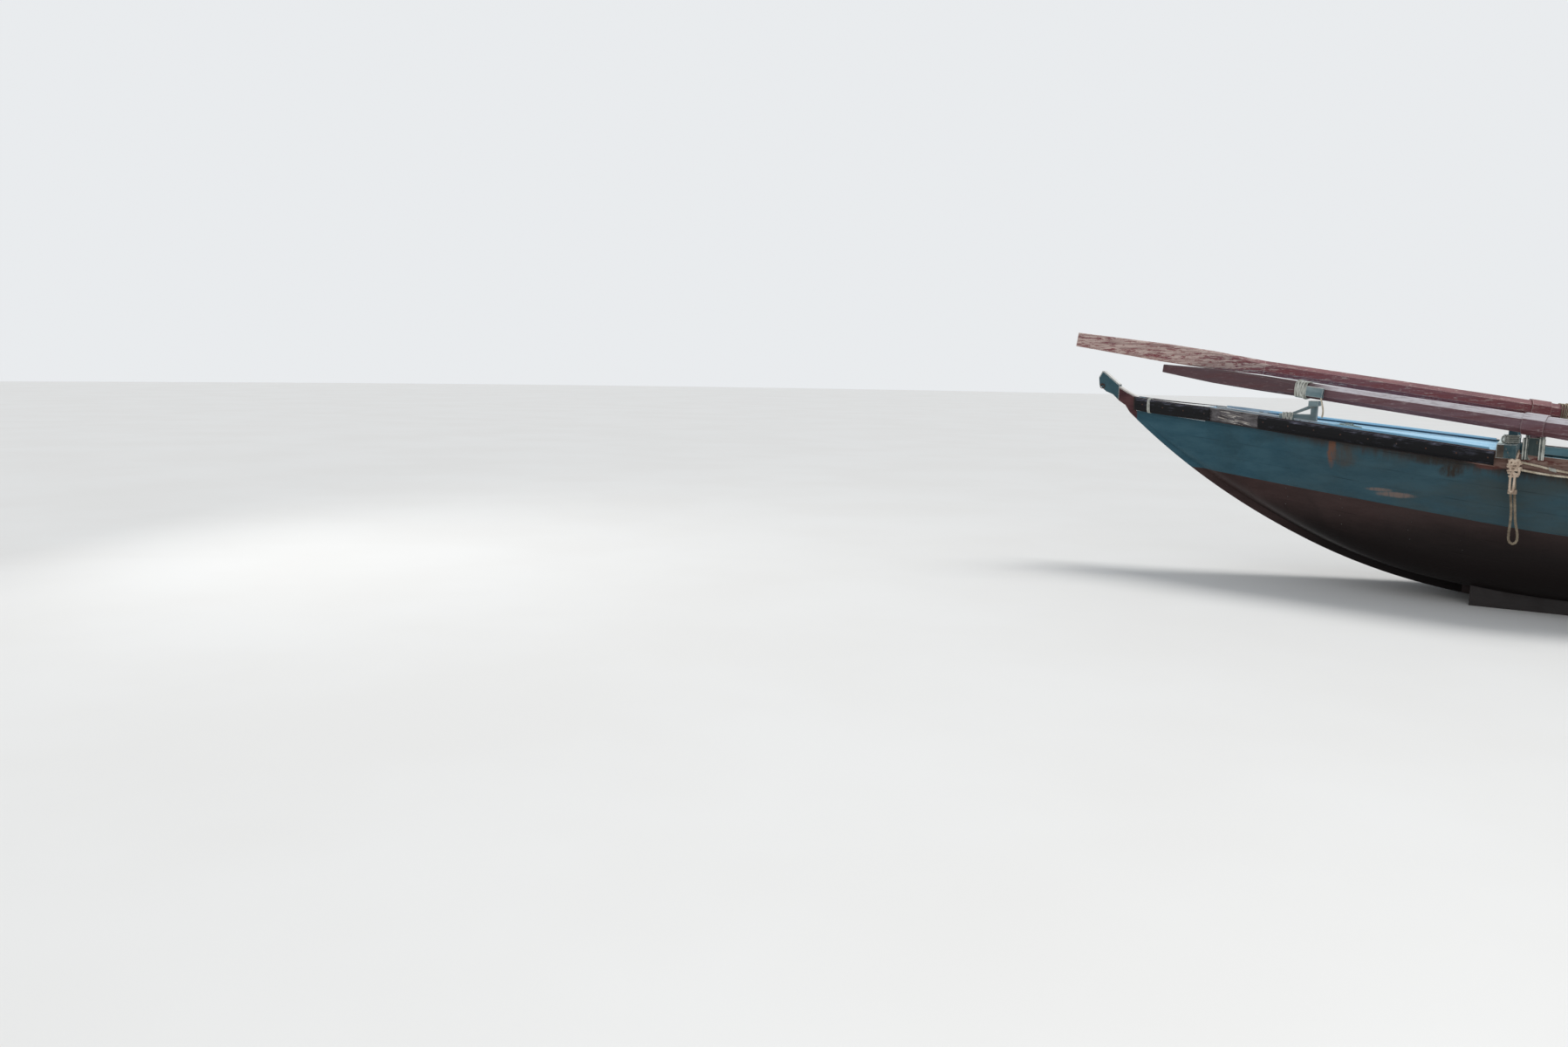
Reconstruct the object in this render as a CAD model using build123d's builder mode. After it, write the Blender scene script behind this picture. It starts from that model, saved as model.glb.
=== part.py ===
from build123d import *
import math
import os

# A carvel-planked wooden fishing rowing boat, drawn up on a beach, with two long oars stowed forward.
# Millimetres. +X runs to the bow, +Y to port, +Z up. The origin is on the underside of the keel amidships.
# Places along the boat are given as a distance aft of the stem head's tip, as a boat is lined off.

# Hull
LENGTH_OVERALL = 6200
PLANK = 25
KEEL_WIDTH = 70
KEEL_DEPTH = 50
KEEL_TOP = 80
TOPSIDE_DEPTH = 445
TRANSOM = 36
TRANSOM_RAKE = 4
FIT = 0.3
SIDES = {"port": 1, "starboard": -1}

# Each station of the planking's outer face: distance aft, height of the garboard at the keel, half-breadth
# and height of the bilge corner, bilge radius, half-breadth at the sheer, height of the sheer. The stations
# are evenly spaced, so that the lofted surface is fair; those of the afterbody follow the length overall.
AFTERBODY_FROM = 2974
AFTERBODY_PITCH = (LENGTH_OVERALL - AFTERBODY_FROM) / 6
STATIONS = [
    (285, 1116, 37, 1146, 20, 41, 1235),
    (823, 717, 112, 776, 63, 182, 1181),
    (1360, 417, 234, 495, 143, 346, 1125),
    (1898, 195, 384, 273, 215, 499, 1070),
    (2436, 80, 536, 158, 264, 625, 1014),
    (AFTERBODY_FROM, 52, 631, 111, 295, 709, 961),
    (AFTERBODY_FROM + AFTERBODY_PITCH, 50, 646, 104, 301, 729, 939),
    (AFTERBODY_FROM + 2 * AFTERBODY_PITCH, 50, 631, 110, 299, 716, 941),
    (AFTERBODY_FROM + 3 * AFTERBODY_PITCH, 60, 598, 126, 292, 687, 961),
    (AFTERBODY_FROM + 4 * AFTERBODY_PITCH, 91, 545, 168, 275, 643, 991),
    (AFTERBODY_FROM + 5 * AFTERBODY_PITCH, 155, 476, 240, 249, 585, 1031),
    (LENGTH_OVERALL, 250, 400, 335, 220, 515, 1083),
]
SHEER_Z = 6
HOLLOW_FROM = 1
RIBBED_FROM = 2

# Backbone, as points of the side view: distance aft, height
FOREFOOT = (2704, 0)
FOREFOOT_BEND = (2064, 100)
STEM_FOOT = (1484, 305)
STEM_BEND = (824, 668)
STEM_CHIN = (245, 1120)
STEM_INNER = [(333, 1232), (911, 777), (1543, 421), (2150, 205), (2600, 80)]
SKEG_START = (LENGTH_OVERALL - 1900, 0)
SKEG_BEND = (LENGTH_OVERALL - 900, 62)
SKEG_END = (LENGTH_OVERALL - 50, 192)
KEEL_INNER_AFT = [(LENGTH_OVERALL - 1500, KEEL_TOP + 8), (LENGTH_OVERALL - 50, 290)]
SCARF_AT = 2500
HORN_LOWER_EDGE = [(210, 1171), (156, 1206)]
HORN_TOP_EDGE = [(156, 1308), (230, 1266), (290, 1236)]
HORN_HEAD = [(156, 1206), (111, 1248), (58, 1269), (6, 1314), (0, 1373), (24, 1420), (36, 1420), (156, 1324)]
HORN_WIDTH = 64

# Frames
FRAME_WIDTH = 42
FRAME_STATIONS = [1420, 1780, 2200, 2500, 2960, 3180]
FRAME_STATIONS += [LENGTH_OVERALL - forward for forward in (2540, 2060, 1520, 1040, 600)]
FLOOR_DEPTH = 110
FLOOR_TOP = 185

# Gunwale and what is nailed to it. A batten's profile is a list of corners: distance inside the planking's
# outer face, and distance below the sheer.
RAIL_WIDTH = 45
RAIL_DEPTH = 94
RAIL_PROFILE = [(-RAIL_WIDTH, -3), (PLANK / 3, -3), (PLANK / 3, RAIL_DEPTH), (-RAIL_WIDTH, RAIL_DEPTH)]
STRIP_PROFILE = [(-40, 2), (-56, 4), (-63, 18), (-66, 42), (-63, 68), (-56, 84), (-40, 88)]
STRIP_RUNS = [(300, 867), (1213, 2632)]
RIB_FACE = PLANK + 50
INWALE_PROFILE = [(RIB_FACE - 5, 0), (RIB_FACE + 34, 0), (RIB_FACE + 34, 52), (RIB_FACE - 5, 52)]
INWALE_FROM = 2760
STRINGER_PROFILE = [(RIB_FACE - 5, 92), (RIB_FACE + 24, 92), (RIB_FACE + 24, 130), (RIB_FACE - 5, 130)]
RISER_WIDTH = 26
RISER_DEPTH = 60
RISER_FROM = 3060
RUNNER_WIDTH = 50
RUNNER_Y = 390
RUNNER_RUN = (2560, LENGTH_OVERALL - 1640)

# Foredeck
DECK_RUN = (823, 2632)
DECK_THICKNESS = 22
DECK_BELOW_SHEER = 10
DECK_PLANK = 126
DECK_SEAM = 4
DECK_PLANKS = 11
BEAM_WIDTH = 50
BEAM_DEPTH = 60
BEAM_STATIONS = [1100, 1600, 2050, 2590]
TOE_RAIL_PROFILE = [(PLANK + 1, -14), (PLANK + 35, -14), (PLANK + 35, 18), (PLANK + 1, 18)]
TOE_RAIL_RUN = (900, 2600)
BOW_BLOCK_DEPTH = 90

# Crossbeam, tholes and oar pads
CROSSBEAM_RUN = (2640, 2744)
CROSSBEAM_Z = (955, 1035)
CROSSBEAM_HALF = 746
THOLE_SIZE = 50
THOLE_RUN_FROM = 2692
THOLE_Y = {"port": 560, "starboard": 552}
THOLE_TOP = 1190
PAD_RUN = (2770, 2886)
PAD_Y = (640, 734)
PAD_LAND = 52
PAD_SHOULDER = 9
PAD_LOW = 900
PIVOT_AT = 2828
PIVOT_Y = 690
PIN_RADIUS = 8
PIN_CLEARANCE = 0.1
PIN_ROOT = 60
PIN_REACH = 70
LASHING = 7
LASHING_LOW = 952

# Benches and floor
THWART_TOP = 700
THWART_THICKNESS = 32
THWARTS = {"rowing_thwart": (3400, 250), "after_thwart": (LENGTH_OVERALL - 1720, 230)}
STERN_BENCH_RUN = (LENGTH_OVERALL - 870, LENGTH_OVERALL - 120)
STERN_BENCH_PLANK = 140
STERN_BENCH_GAP = 8
FLOORBOARD_RUN = (2780, LENGTH_OVERALL - 1350)
FLOORBOARD_WIDTH = 130
FLOORBOARD_THICKNESS = 18
FLOORBOARD_ROWS = 5
FLOORBOARD_GAP = 14

# Oars. Each: side (+1 port), loom's height at the pivot, height at the tip, distance aft and half-breadth
# of the tip, height of the pad's top, and the rope lashing's run along the oar, width and depth.
OARS = {
    "port": (1, 1156, 1448, 474, 13, 1080, (1368, 1456, 106, 114)),
    "starboard": (-1, 1213, 1647, -91, 300, 1136, (-300, -120, 122, 126)),
}
OAR_LASHING_EDGE = 30
# Sections of each oar, measured along it from the pivot: distance, width, depth, chamfer
LOOM_SECTIONS = {
    "port": [
        (-650, 44, 44, 13),
        (-400, 48, 48, 14),
        (-310, 108, 124, 30),
        (0, 108, 112, 30),
        (1400, 92, 98, 26),
    ],
    "starboard": [
        (-650, 44, 44, 13),
        (-400, 48, 48, 14),
        (-310, 106, 112, 30),
        (0, 106, 110, 30),
        (1800, 94, 98, 26),
    ],
}
BLADE_SECTIONS = {
    "port": [
        (1400, 92, 98, 26),
        (1700, 46, 104, 8),
        (2050, 40, 98, 6),
        (2300, 36, 74, 5),
        (None, 32, 56, 4),
    ],
    "starboard": [
        (1800, 94, 98, 26),
        (2160, 56, 128, 10),
        (2480, 46, 130, 8),
        (None, 36, 98, 4),
    ],
}
COLLAR_HALF = 60
COLLAR_WALL = 8
COLLAR_FOOT = 24
CHOCK_RUN = (1252, 1364)
CHOCK_THICKNESS = 26
CHOCK_LOW = -34
CHOCK_HIGH = 30

# Forward oar crutch on the foredeck
CRUTCH_Y = 325
CRUTCH_POST_RUN = (1541, 1581)
CRUTCH_HEAD_RUN = (1530, 1592)
CRUTCH_HEAD_HALF = 62
CRUTCH_HEAD_TOP = 1250
CRUTCH_HEAD_DEPTH = 34
CRUTCH_FOOT_RUN = (1345, 1541)
CRUTCH_FOOT_HEIGHT = 44
CRUTCH_HALF = 22
CRUTCH_BRACE = 26

# Rope
ROPE = 16
STRAND = 14
KNOT_RUN = (2708, 2768)
KNOT_Y = (690, 760)
KNOT_Z = (850, 950)
HITCH_RUN = (3150, 3190)
HITCH_Y = (700, 790)
HITCH_Z = (838, 962)
# Routes of the cords: distance aft, y, z
BIGHT_ROUTE = [
    (2722, 742, 850),
    (2726, 742, 780),
    (2733, 740, 710),
    (2742, 739, 640),
    (2748, 738, 575),
    (2746, 738, 520),
    (2744, 738, 464),
    (2768, 739, 444),
    (2792, 740, 464),
    (2788, 740, 520),
    (2775, 741, 575),
    (2768, 741, 640),
    (2760, 742, 710),
    (2754, 742, 780),
    (2750, 742, 850),
]
UPPER_ROUTE = [(2768, 742, 936), (2850, 743, 922), (2940, 754, 900), (3050, 765, 886), (3150, 772, 880)]
LOWER_ROUTE = [(2768, 742, 892), (2850, 743, 878), (2940, 752, 868), (3050, 762, 863), (3150, 770, 864)]
LANYARD = 12
LANYARD_ROUTE = [
    (1606, 396, 1275),
    (1613, 397, 1243),
    (1622, 398, 1210),
    (1627, 397, 1176),
    (1621, 395, 1143),
]
LINE_HEAP_AT = (1775, 292)
LINE_HEAP_SIZE = (300, 96, 42)
RING_AT = (30, 1318)
RING_PIN = (4, 12)
RING_RADIUS = 16
RING_WIRE = 3


def aft(distance):
    """X of a place that lies a distance aft of the stem head's tip."""
    return LENGTH_OVERALL / 2 - distance


def side_view(points):
    """Side-view points, distance aft and height, as X and Z."""
    return [(aft(distance), height) for distance, height in points]


def between(column, distance):
    """Value of a column of the station table, straight between its rows."""
    for low, high in zip(STATIONS, STATIONS[1:]):
        if distance <= high[0] or high is STATIONS[-1]:
            share = (distance - low[0]) / (high[0] - low[0])
            return low[column] + share * (high[column] - low[column])


def meet(p, p_angle, q, q_angle):
    """Point where two lines, each through a point at an angle, cross."""
    across = math.cos(p_angle) * math.sin(q_angle) - math.sin(p_angle) * math.cos(q_angle)
    along = ((q[0] - p[0]) * math.sin(q_angle) - (q[1] - p[1]) * math.cos(q_angle)) / across
    return (p[0] + along * math.cos(p_angle), p[1] + along * math.sin(p_angle))


def station_plane(distance):
    """Plane across the boat, its x to port and its y up."""
    return Plane(origin=(aft(distance), 0, 0), x_dir=(0, 1, 0), z_dir=(1, 0, 0))


def hull_body(inward, rise, first, lengthen):
    """Solid of the hull's form, moved inward by a thickness, its top raised, from one station aft."""
    with BuildPart() as body:
        for index, row in enumerate(STATIONS[first:], first):
            distance, keel_z, bilge_y, bilge_z, radius, sheer_y, sheer_z = row
            if index == len(STATIONS) - 1:
                distance += lengthen
            half = KEEL_WIDTH / 2 - 5
            floor = math.atan2(bilge_z - keel_z, bilge_y - half)
            side = math.atan2(sheer_z - bilge_z, sheer_y - bilge_y)
            on_floor = (half - inward * math.sin(floor), keel_z + inward * math.cos(floor))
            on_side = (bilge_y - inward * math.sin(side), bilge_z + inward * math.cos(side))
            keel = meet(on_floor, floor, (half, 0), math.pi / 2)
            bilge = meet(on_floor, floor, on_side, side)
            sheer = meet(on_side, side, (0, sheer_z + rise), 0)
            with BuildSketch(station_plane(distance)):
                with BuildLine():
                    port = FilletPolyline(keel, bilge, sheer, radius=radius - inward)
                    Line(keel, (-keel[0], keel[1]))
                    mirror(port, about=Plane.YZ)
                    Line(sheer, (-sheer[0], sheer[1]))
                make_face()
        loft()
    return body.part


def side_strip(profile, run, sign):
    """Batten of a profile along one side, between two distances aft."""
    with BuildPart() as batten:
        for distance, _, bilge_y, bilge_z, _, sheer_y, sheer_z in STATIONS:
            side = math.atan2(sheer_z - bilge_z, sheer_y - bilge_y)
            corners = []
            for offset, drop in profile:
                y = sheer_y - drop / math.tan(side) - offset / math.sin(side)
                corners.append((sign * y, sheer_z - drop))
            with BuildSketch(station_plane(distance)):
                with BuildLine():
                    Polyline(*corners, close=True)
                make_face()
        loft()
        with Locations((aft((run[0] + run[1]) / 2), 0, 0)):
            Box(run[1] - run[0], 4000, 4000, mode=Mode.INTERSECT)
    return batten.part


def side_prism(points, width):
    """Upright board on the centreline, cut to a side view."""
    with BuildPart() as board:
        with BuildSketch(Plane.XZ):
            with BuildLine():
                Polyline(*side_view(points), close=True)
            make_face()
        extrude(amount=width / 2, both=True)
    return board.part


def box_between(run, low, high):
    """Box between two distances aft, two half-breadths and two heights."""
    with BuildPart() as block:
        with Locations((aft((run[0] + run[1]) / 2), (low[0] + high[0]) / 2, (low[1] + high[1]) / 2)):
            Box(run[1] - run[0], high[0] - low[0], high[1] - low[1])
    return block.part


def common(first, *others):
    """Space that all the solids share."""
    with BuildPart() as shared:
        add(first)
        for other in others:
            add(other, mode=Mode.INTERSECT)
    return shared.part


def without(first, *cutters):
    """First solid with the others cut away."""
    with BuildPart() as rest:
        add(first)
        for cutter in cutters:
            add(cutter, mode=Mode.SUBTRACT)
    return rest.part


def joined(shapes):
    """Solids that don't touch, kept as one piece."""
    return Compound(children=[solid for shape in shapes for solid in shape.solids()])


def largest(shape):
    """Largest solid of a shape."""
    return max(shape.solids(), key=lambda solid: solid.volume)


def side_half(sign):
    """Everything on one side of the centreline."""
    low_y, high_y = sorted((0, sign * 2000))
    return box_between((-500, LENGTH_OVERALL + 500), (low_y, -500), (high_y, 2000))


def deck_height(distance):
    """Height of the foredeck's top."""
    first, last = STATIONS[0], STATIONS[4]
    slope = (first[SHEER_Z] - last[SHEER_Z]) / (last[0] - first[0])
    return first[SHEER_Z] - DECK_BELOW_SHEER - slope * (distance - first[0])


def deck_prism(run, low, high):
    """Slab right across the boat between two heights over the foredeck's top."""
    edge = [(run[0], high), (run[1], high), (run[1], low), (run[0], low)]
    return side_prism([(distance, deck_height(distance) + rise) for distance, rise in edge], 3000)


def octagon_bar(rows, pivot, along, lateral):
    """Straight bar along an oar, of chamfered sections at distances from the pivot."""
    with BuildPart() as bar:
        for distance, width, depth, edge in rows:
            with BuildSketch(Plane(origin=pivot + along * distance, x_dir=lateral, z_dir=along)):
                outline = Rectangle(width, depth)
                chamfer(outline.vertices(), length=edge)
        loft(ruled=True)
    return bar.part


def cord_tube(route, diameter):
    """Tube of straight runs and tangent arcs along a route of distance aft, y and z."""
    points = [Vector(aft(distance), y, z) for distance, y, z in route]
    radii = []
    for before, corner, after in zip(points, points[1:], points[2:]):
        turn = math.radians((corner - before).get_angle(after - corner))
        shorter = min((corner - before).length, (after - corner).length)
        radii.append(0.45 * shorter / math.tan(turn / 2))
    print("radii", [round(radius) for radius in radii])
    with BuildPart() as tube:
        with BuildLine() as path:
            FilletPolyline(*points, radius=radii)
        with BuildSketch(Plane(origin=path.line @ 0, z_dir=path.line % 0)):
            Circle(diameter / 2)
        sweep()
    length = path.wire().length
    share = tube.part.volume / (length * math.pi * diameter**2 / 4)
    print("cord length", round(length), "volume against section times length", round(share, 4))
    return tube.part


def save(name, shape):
    """Writes one finished piece to its own file."""
    shape.label = name
    export_step(shape, f"parts/{name}.step")


os.makedirs("parts", exist_ok=True)

# Forms that the pieces are cut from
outer_form = hull_body(0, 0, 0, 0)
inner_form = hull_body(PLANK, 60, HOLLOW_FROM, 20)
rib_form = hull_body(RIB_FACE, 90, RIBBED_FROM, 40)
riser_form = hull_body(RIB_FACE + RISER_WIDTH, 90, RIBBED_FROM + 1, 40)

# The seam where the teal topside meets the red bottom, parallel to the sheer
with BuildPart() as below_seam:
    for distance, *_, sheer_z in STATIONS:
        reach = 20 if distance == STATIONS[-1][0] else 0
        with BuildSketch(station_plane(distance + reach)):
            with Locations((0, (sheer_z - TOPSIDE_DEPTH) / 2 - 100)):
                Rectangle(2000, sheer_z - TOPSIDE_DEPTH + 200)
    loft()

# Keel, stem post and stem head
with BuildPart() as backbone:
    with BuildSketch(Plane.XZ):
        with BuildLine():
            ThreePointArc(*side_view([SKEG_END, SKEG_BEND, SKEG_START]))
            Line(*side_view([SKEG_START, FOREFOOT]))
            ThreePointArc(*side_view([FOREFOOT, FOREFOOT_BEND, STEM_FOOT]))
            ThreePointArc(*side_view([STEM_FOOT, STEM_BEND, STEM_CHIN]))
            Polyline(*side_view([STEM_CHIN] + HORN_LOWER_EDGE + HORN_TOP_EDGE + [STEM_INNER[0]]))
            ThreePointArc(*side_view(STEM_INNER[:3]))
            ThreePointArc(*side_view(STEM_INNER[2:]))
            Polyline(*side_view([STEM_INNER[-1], *KEEL_INNER_AFT, SKEG_END]))
        make_face()
    extrude(amount=KEEL_WIDTH / 2, both=True)

# Transom, raked, over the ends of the planking
top = LENGTH_OVERALL
foot = top - 1300 * math.tan(math.radians(TRANSOM_RAKE))
transom_slab = side_prism([(top, 1300), (foot, 0), (foot - TRANSOM, 0), (top - TRANSOM, 1300)], 2000)
past_edge = [(top + 300, 1300), (top + 300, 0), (foot - TRANSOM, 0), (top - TRANSOM, 1300)]
past_transom = side_prism(past_edge, 2400)
save("transom", common(outer_form, transom_slab))

save("keel", without(backbone.part, box_between((-200, SCARF_AT), (-200, -100), (200, 2000)), past_transom))
save("stem_post", common(backbone.part, box_between((-200, SCARF_AT), (-200, -100), (200, 2000))))
save("stem_horn", side_prism(HORN_HEAD, HORN_WIDTH))

# Bow block over the plank ends behind the stem head
bow_side_view = [
    (STATIONS[0][0], deck_height(STATIONS[0][0]) + 60),
    (DECK_RUN[0], deck_height(DECK_RUN[0]) + 60),
    (DECK_RUN[0], deck_height(DECK_RUN[0]) - BOW_BLOCK_DEPTH),
    (STATIONS[0][0], deck_height(STATIONS[0][0]) - BOW_BLOCK_DEPTH),
]
bow_block = without(common(outer_form, side_prism(bow_side_view, 1000)), backbone.part)
save("bow_block", bow_block)

# Crossbeam, let into the rails and the top strakes
beam_low, beam_high = CROSSBEAM_Z
housing = box_between(CROSSBEAM_RUN, (-1000, beam_low), (1000, beam_high + 50))
save("crossbeam", box_between(CROSSBEAM_RUN, (-CROSSBEAM_HALF, beam_low), (CROSSBEAM_HALF, beam_high)))

# Planking in four shells, parted along the seam and the centreline
shell = without(outer_form, inner_form, backbone.part, past_transom, bow_block, housing)
topsides = without(shell, below_seam.part)
bottoms = common(shell, below_seam.part)
planking = {}
for side_name, sign in SIDES.items():
    half = side_half(sign)
    for band_name, band in (("topside_planking", topsides), ("bottom_planking", bottoms)):
        name = f"{side_name}_{band_name}"
        planking[name] = largest(common(band, half))
        save(name, planking[name])

# Gunwale rails and the battens along each side
rails = {}
for side_name, sign in SIDES.items():
    rail = side_strip(RAIL_PROFILE, (STATIONS[0][0], top), sign)
    rails[side_name] = largest(without(rail, outer_form, backbone.part, housing, past_transom))
    save(f"{side_name}_gunwale_rail", rails[side_name])
    strips = [side_strip(STRIP_PROFILE, run, sign) for run in STRIP_RUNS]
    strips = [largest(without(strip, rails[side_name])) for strip in strips]
    save(f"{side_name}_rubbing_strips", joined(strips))
    for batten_name, profile in (("inwale", INWALE_PROFILE), ("stringer", STRINGER_PROFILE)):
        batten = side_strip(profile, (INWALE_FROM, top), sign)
        save(f"{side_name}_{batten_name}", without(common(batten, rib_form), past_transom))
    riser_top = THWART_TOP - THWART_THICKNESS
    low_y, high_y = sorted((0, sign * 1000))
    riser_box = box_between((RISER_FROM, top), (low_y, riser_top - RISER_DEPTH), (high_y, riser_top))
    save(f"{side_name}_riser", without(common(rib_form, riser_box), riser_form, past_transom))
    low_y, high_y = sorted((sign * (RUNNER_Y - RUNNER_WIDTH / 2), sign * (RUNNER_Y + RUNNER_WIDTH / 2)))
    runner = without(box_between(RUNNER_RUN, (low_y, 0), (high_y, 200)), outer_form)
    save(f"{side_name}_bilge_runner", min(runner.solids(), key=lambda solid: solid.center().Z))

# Frames: a floor timber and two ribs at each station
under_deck = deck_prism((0, DECK_RUN[1]), -DECK_THICKNESS, 300)
floor_slabs, rib_slabs = [], []
for distance in FRAME_STATIONS:
    floor_top = max(FLOOR_TOP, between(1, distance) + FLOOR_DEPTH)
    ends = (distance - FRAME_WIDTH / 2, distance + FRAME_WIDTH / 2)
    floor_slabs.append(box_between(ends, (-1000, 0), (1000, floor_top)))
    rib_slabs.append(box_between(ends, (-1000, floor_top), (1000, 1600)))
save("floor_timbers", joined([without(common(inner_form, slab), backbone.part) for slab in floor_slabs]))
ribs = without(common(inner_form, outer_form), rib_form, under_deck)
for side_name, sign in SIDES.items():
    side_ribs = common(ribs, side_half(sign))
    save(f"{side_name}_ribs", joined([common(side_ribs, slab) for slab in rib_slabs]))

# Foredeck
deck_slab = deck_prism(DECK_RUN, -DECK_THICKNESS, 0)
deck = common(inner_form, deck_slab)
seams = [(index - DECK_PLANKS / 2) * (DECK_PLANK + DECK_SEAM) for index in range(1, DECK_PLANKS)]
with BuildPart() as seam_cutters:
    for y in seams:
        with Locations((aft(DECK_RUN[1] / 2), y, 1000)):
            Box(DECK_RUN[1] + 400, DECK_SEAM, 1000)
deck = without(deck, seam_cutters.part)
save("foredeck_planks", joined([deck]))
beam_slabs = []
for distance in BEAM_STATIONS:
    ends = (distance - BEAM_WIDTH / 2, distance + BEAM_WIDTH / 2)
    beam_slabs.append(deck_prism(ends, -DECK_THICKNESS - BEAM_DEPTH, -DECK_THICKNESS))
save("foredeck_beams", joined([without(common(inner_form, slab), backbone.part) for slab in beam_slabs]))
toe_rails = {}
for side_name, sign in SIDES.items():
    toe = side_strip(TOE_RAIL_PROFILE, TOE_RAIL_RUN, sign)
    toe_rails[side_name] = largest(without(toe, deck_slab, planking[f"{side_name}_topside_planking"]))
    save(f"{side_name}_toe_rail", toe_rails[side_name])

# Benches and floorboards
low = THWART_TOP - THWART_THICKNESS
for name, (distance, width) in THWARTS.items():
    ends = (distance - width / 2, distance + width / 2)
    save(name, common(rib_form, box_between(ends, (-1000, low), (1000, THWART_TOP))))
bench = []
pitch = STERN_BENCH_PLANK + STERN_BENCH_GAP
for index in range(int((STERN_BENCH_RUN[1] - STERN_BENCH_RUN[0]) // pitch)):
    start = STERN_BENCH_RUN[0] + index * pitch
    plank = box_between((start, start + STERN_BENCH_PLANK), (-1000, low), (1000, THWART_TOP))
    bench.append(common(rib_form, plank))
save("stern_bench", joined(bench))
boards = []
for index in range(FLOORBOARD_ROWS):
    y = (index - (FLOORBOARD_ROWS - 1) / 2) * (FLOORBOARD_WIDTH + FLOORBOARD_GAP)
    edges = (y - FLOORBOARD_WIDTH / 2, y + FLOORBOARD_WIDTH / 2)
    board_top = FLOOR_TOP + FLOORBOARD_THICKNESS
    boards.append(box_between(FLOORBOARD_RUN, (edges[0], FLOOR_TOP), (edges[1], board_top)))
save("floorboards", joined(boards))

# Thole posts, pads and pins
for side_name, sign in SIDES.items():
    pad_top = OARS[side_name][5]
    post = box_between(
        (THOLE_RUN_FROM, THOLE_RUN_FROM + THOLE_SIZE),
        (sign * THOLE_Y[side_name] - THOLE_SIZE / 2, beam_high),
        (sign * THOLE_Y[side_name] + THOLE_SIZE / 2, THOLE_TOP),
    )
    save(f"{side_name}_thole_post", post)
    y_low, y_high = sorted((sign * PAD_Y[0], sign * PAD_Y[1]))
    with BuildPart() as pin:
        with Locations((aft(PIVOT_AT), sign * PIVOT_Y, pad_top - PIN_ROOT)):
            Cylinder(PIN_RADIUS, PIN_ROOT + PIN_REACH, align=(Align.CENTER, Align.CENTER, Align.MIN))
    middle = (PAD_RUN[0] + PAD_RUN[1]) / 2
    with BuildPart() as pad:
        add(box_between(PAD_RUN, (y_low, PAD_LOW), (y_high, pad_top - PAD_SHOULDER)))
        add(box_between((middle - PAD_LAND / 2, middle + PAD_LAND / 2), (y_low, PAD_LOW), (y_high, pad_top)))
    pad_solid = largest(without(pad.part, outer_form, rails[side_name], pin.part))
    save(f"{side_name}_oar_pad", pad_solid)
    save(f"{side_name}_thole_pin", pin.part)
    turns = []
    outer_low, outer_high = sorted((sign * (PAD_Y[0] - LASHING), sign * (PAD_Y[1] + 2 * LASHING)))
    for start, end in ((PAD_RUN[0], middle - PAD_LAND / 2), (middle + PAD_LAND / 2, PAD_RUN[1])):
        turn_top = pad_top - PAD_SHOULDER + LASHING
        turn = box_between((start + 2, end - 1), (outer_low, LASHING_LOW), (outer_high, turn_top))
        turns.append(largest(without(turn, pad_solid, rails[side_name], outer_form)))
    save(f"{side_name}_pad_lashing", joined(turns))

# Oars
for side_name, (sign, pivot_z, tip_z, tip_at, tip_y, pad_top, lashing_run) in OARS.items():
    pivot = Vector(aft(PIVOT_AT), sign * PIVOT_Y, pivot_z)
    tip = Vector(aft(tip_at), tip_y, tip_z)
    along = (tip - pivot).normalized()
    length = (tip - pivot).length
    lateral = Vector(-along.Y, along.X, 0).normalized()
    looms = octagon_bar(LOOM_SECTIONS[side_name], pivot, along, lateral)
    blade_rows = [(length if d is None else d, *r) for d, *r in BLADE_SECTIONS[side_name]]
    blade = octagon_bar(blade_rows, pivot, along, lateral)
    with BuildPart() as pin_hole:
        with Locations((aft(PIVOT_AT), sign * PIVOT_Y, pad_top - 10)):
            hole_radius = PIN_RADIUS + PIN_CLEARANCE
            Cylinder(hole_radius, PIN_REACH + 15, align=(Align.CENTER, Align.CENTER, Align.MIN))
    save(f"{side_name}_oar_loom", without(looms, pin_hole.part))
    save(f"{side_name}_oar_blade", blade)
    _, width, depth, edge = LOOM_SECTIONS[side_name][3]
    sleeve_section = (width + 2 * COLLAR_WALL, depth + 2 * COLLAR_WALL, edge + 4)
    sleeve_rows = [(distance, *sleeve_section) for distance in (-COLLAR_HALF, COLLAR_HALF)]
    sleeve = octagon_bar(sleeve_rows, pivot, along, lateral)
    with BuildPart() as collar:
        add(sleeve)
        with Locations((aft(PIVOT_AT), sign * PIVOT_Y, pad_top + FIT)):
            Cylinder(COLLAR_FOOT, pivot_z - pad_top - FIT, align=(Align.CENTER, Align.CENTER, Align.MIN))
        add(looms, mode=Mode.SUBTRACT)
        add(pin_hole.part, mode=Mode.SUBTRACT)
    save(f"{side_name}_oar_collar", largest(collar.part))
    start, end, width, depth = lashing_run
    wrap = octagon_bar([(d, width, depth, OAR_LASHING_EDGE) for d in (start, end)], pivot, along, lateral)
    save(f"{side_name}_oar_lashing", largest(without(wrap, looms, blade)))
    if side_name == "port":
        chock_plane = Plane(origin=pivot + along * CHOCK_RUN[0], x_dir=lateral, z_dir=along)
        with BuildPart() as chock:
            with BuildSketch(chock_plane):
                with Locations((40 + CHOCK_THICKNESS / 2, (CHOCK_LOW + CHOCK_HIGH) / 2)):
                    Rectangle(CHOCK_THICKNESS, CHOCK_HIGH - CHOCK_LOW)
            extrude(amount=CHOCK_RUN[1] - CHOCK_RUN[0])
            add(looms, mode=Mode.SUBTRACT)
        save("port_oar_chock", largest(chock.part))

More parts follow.
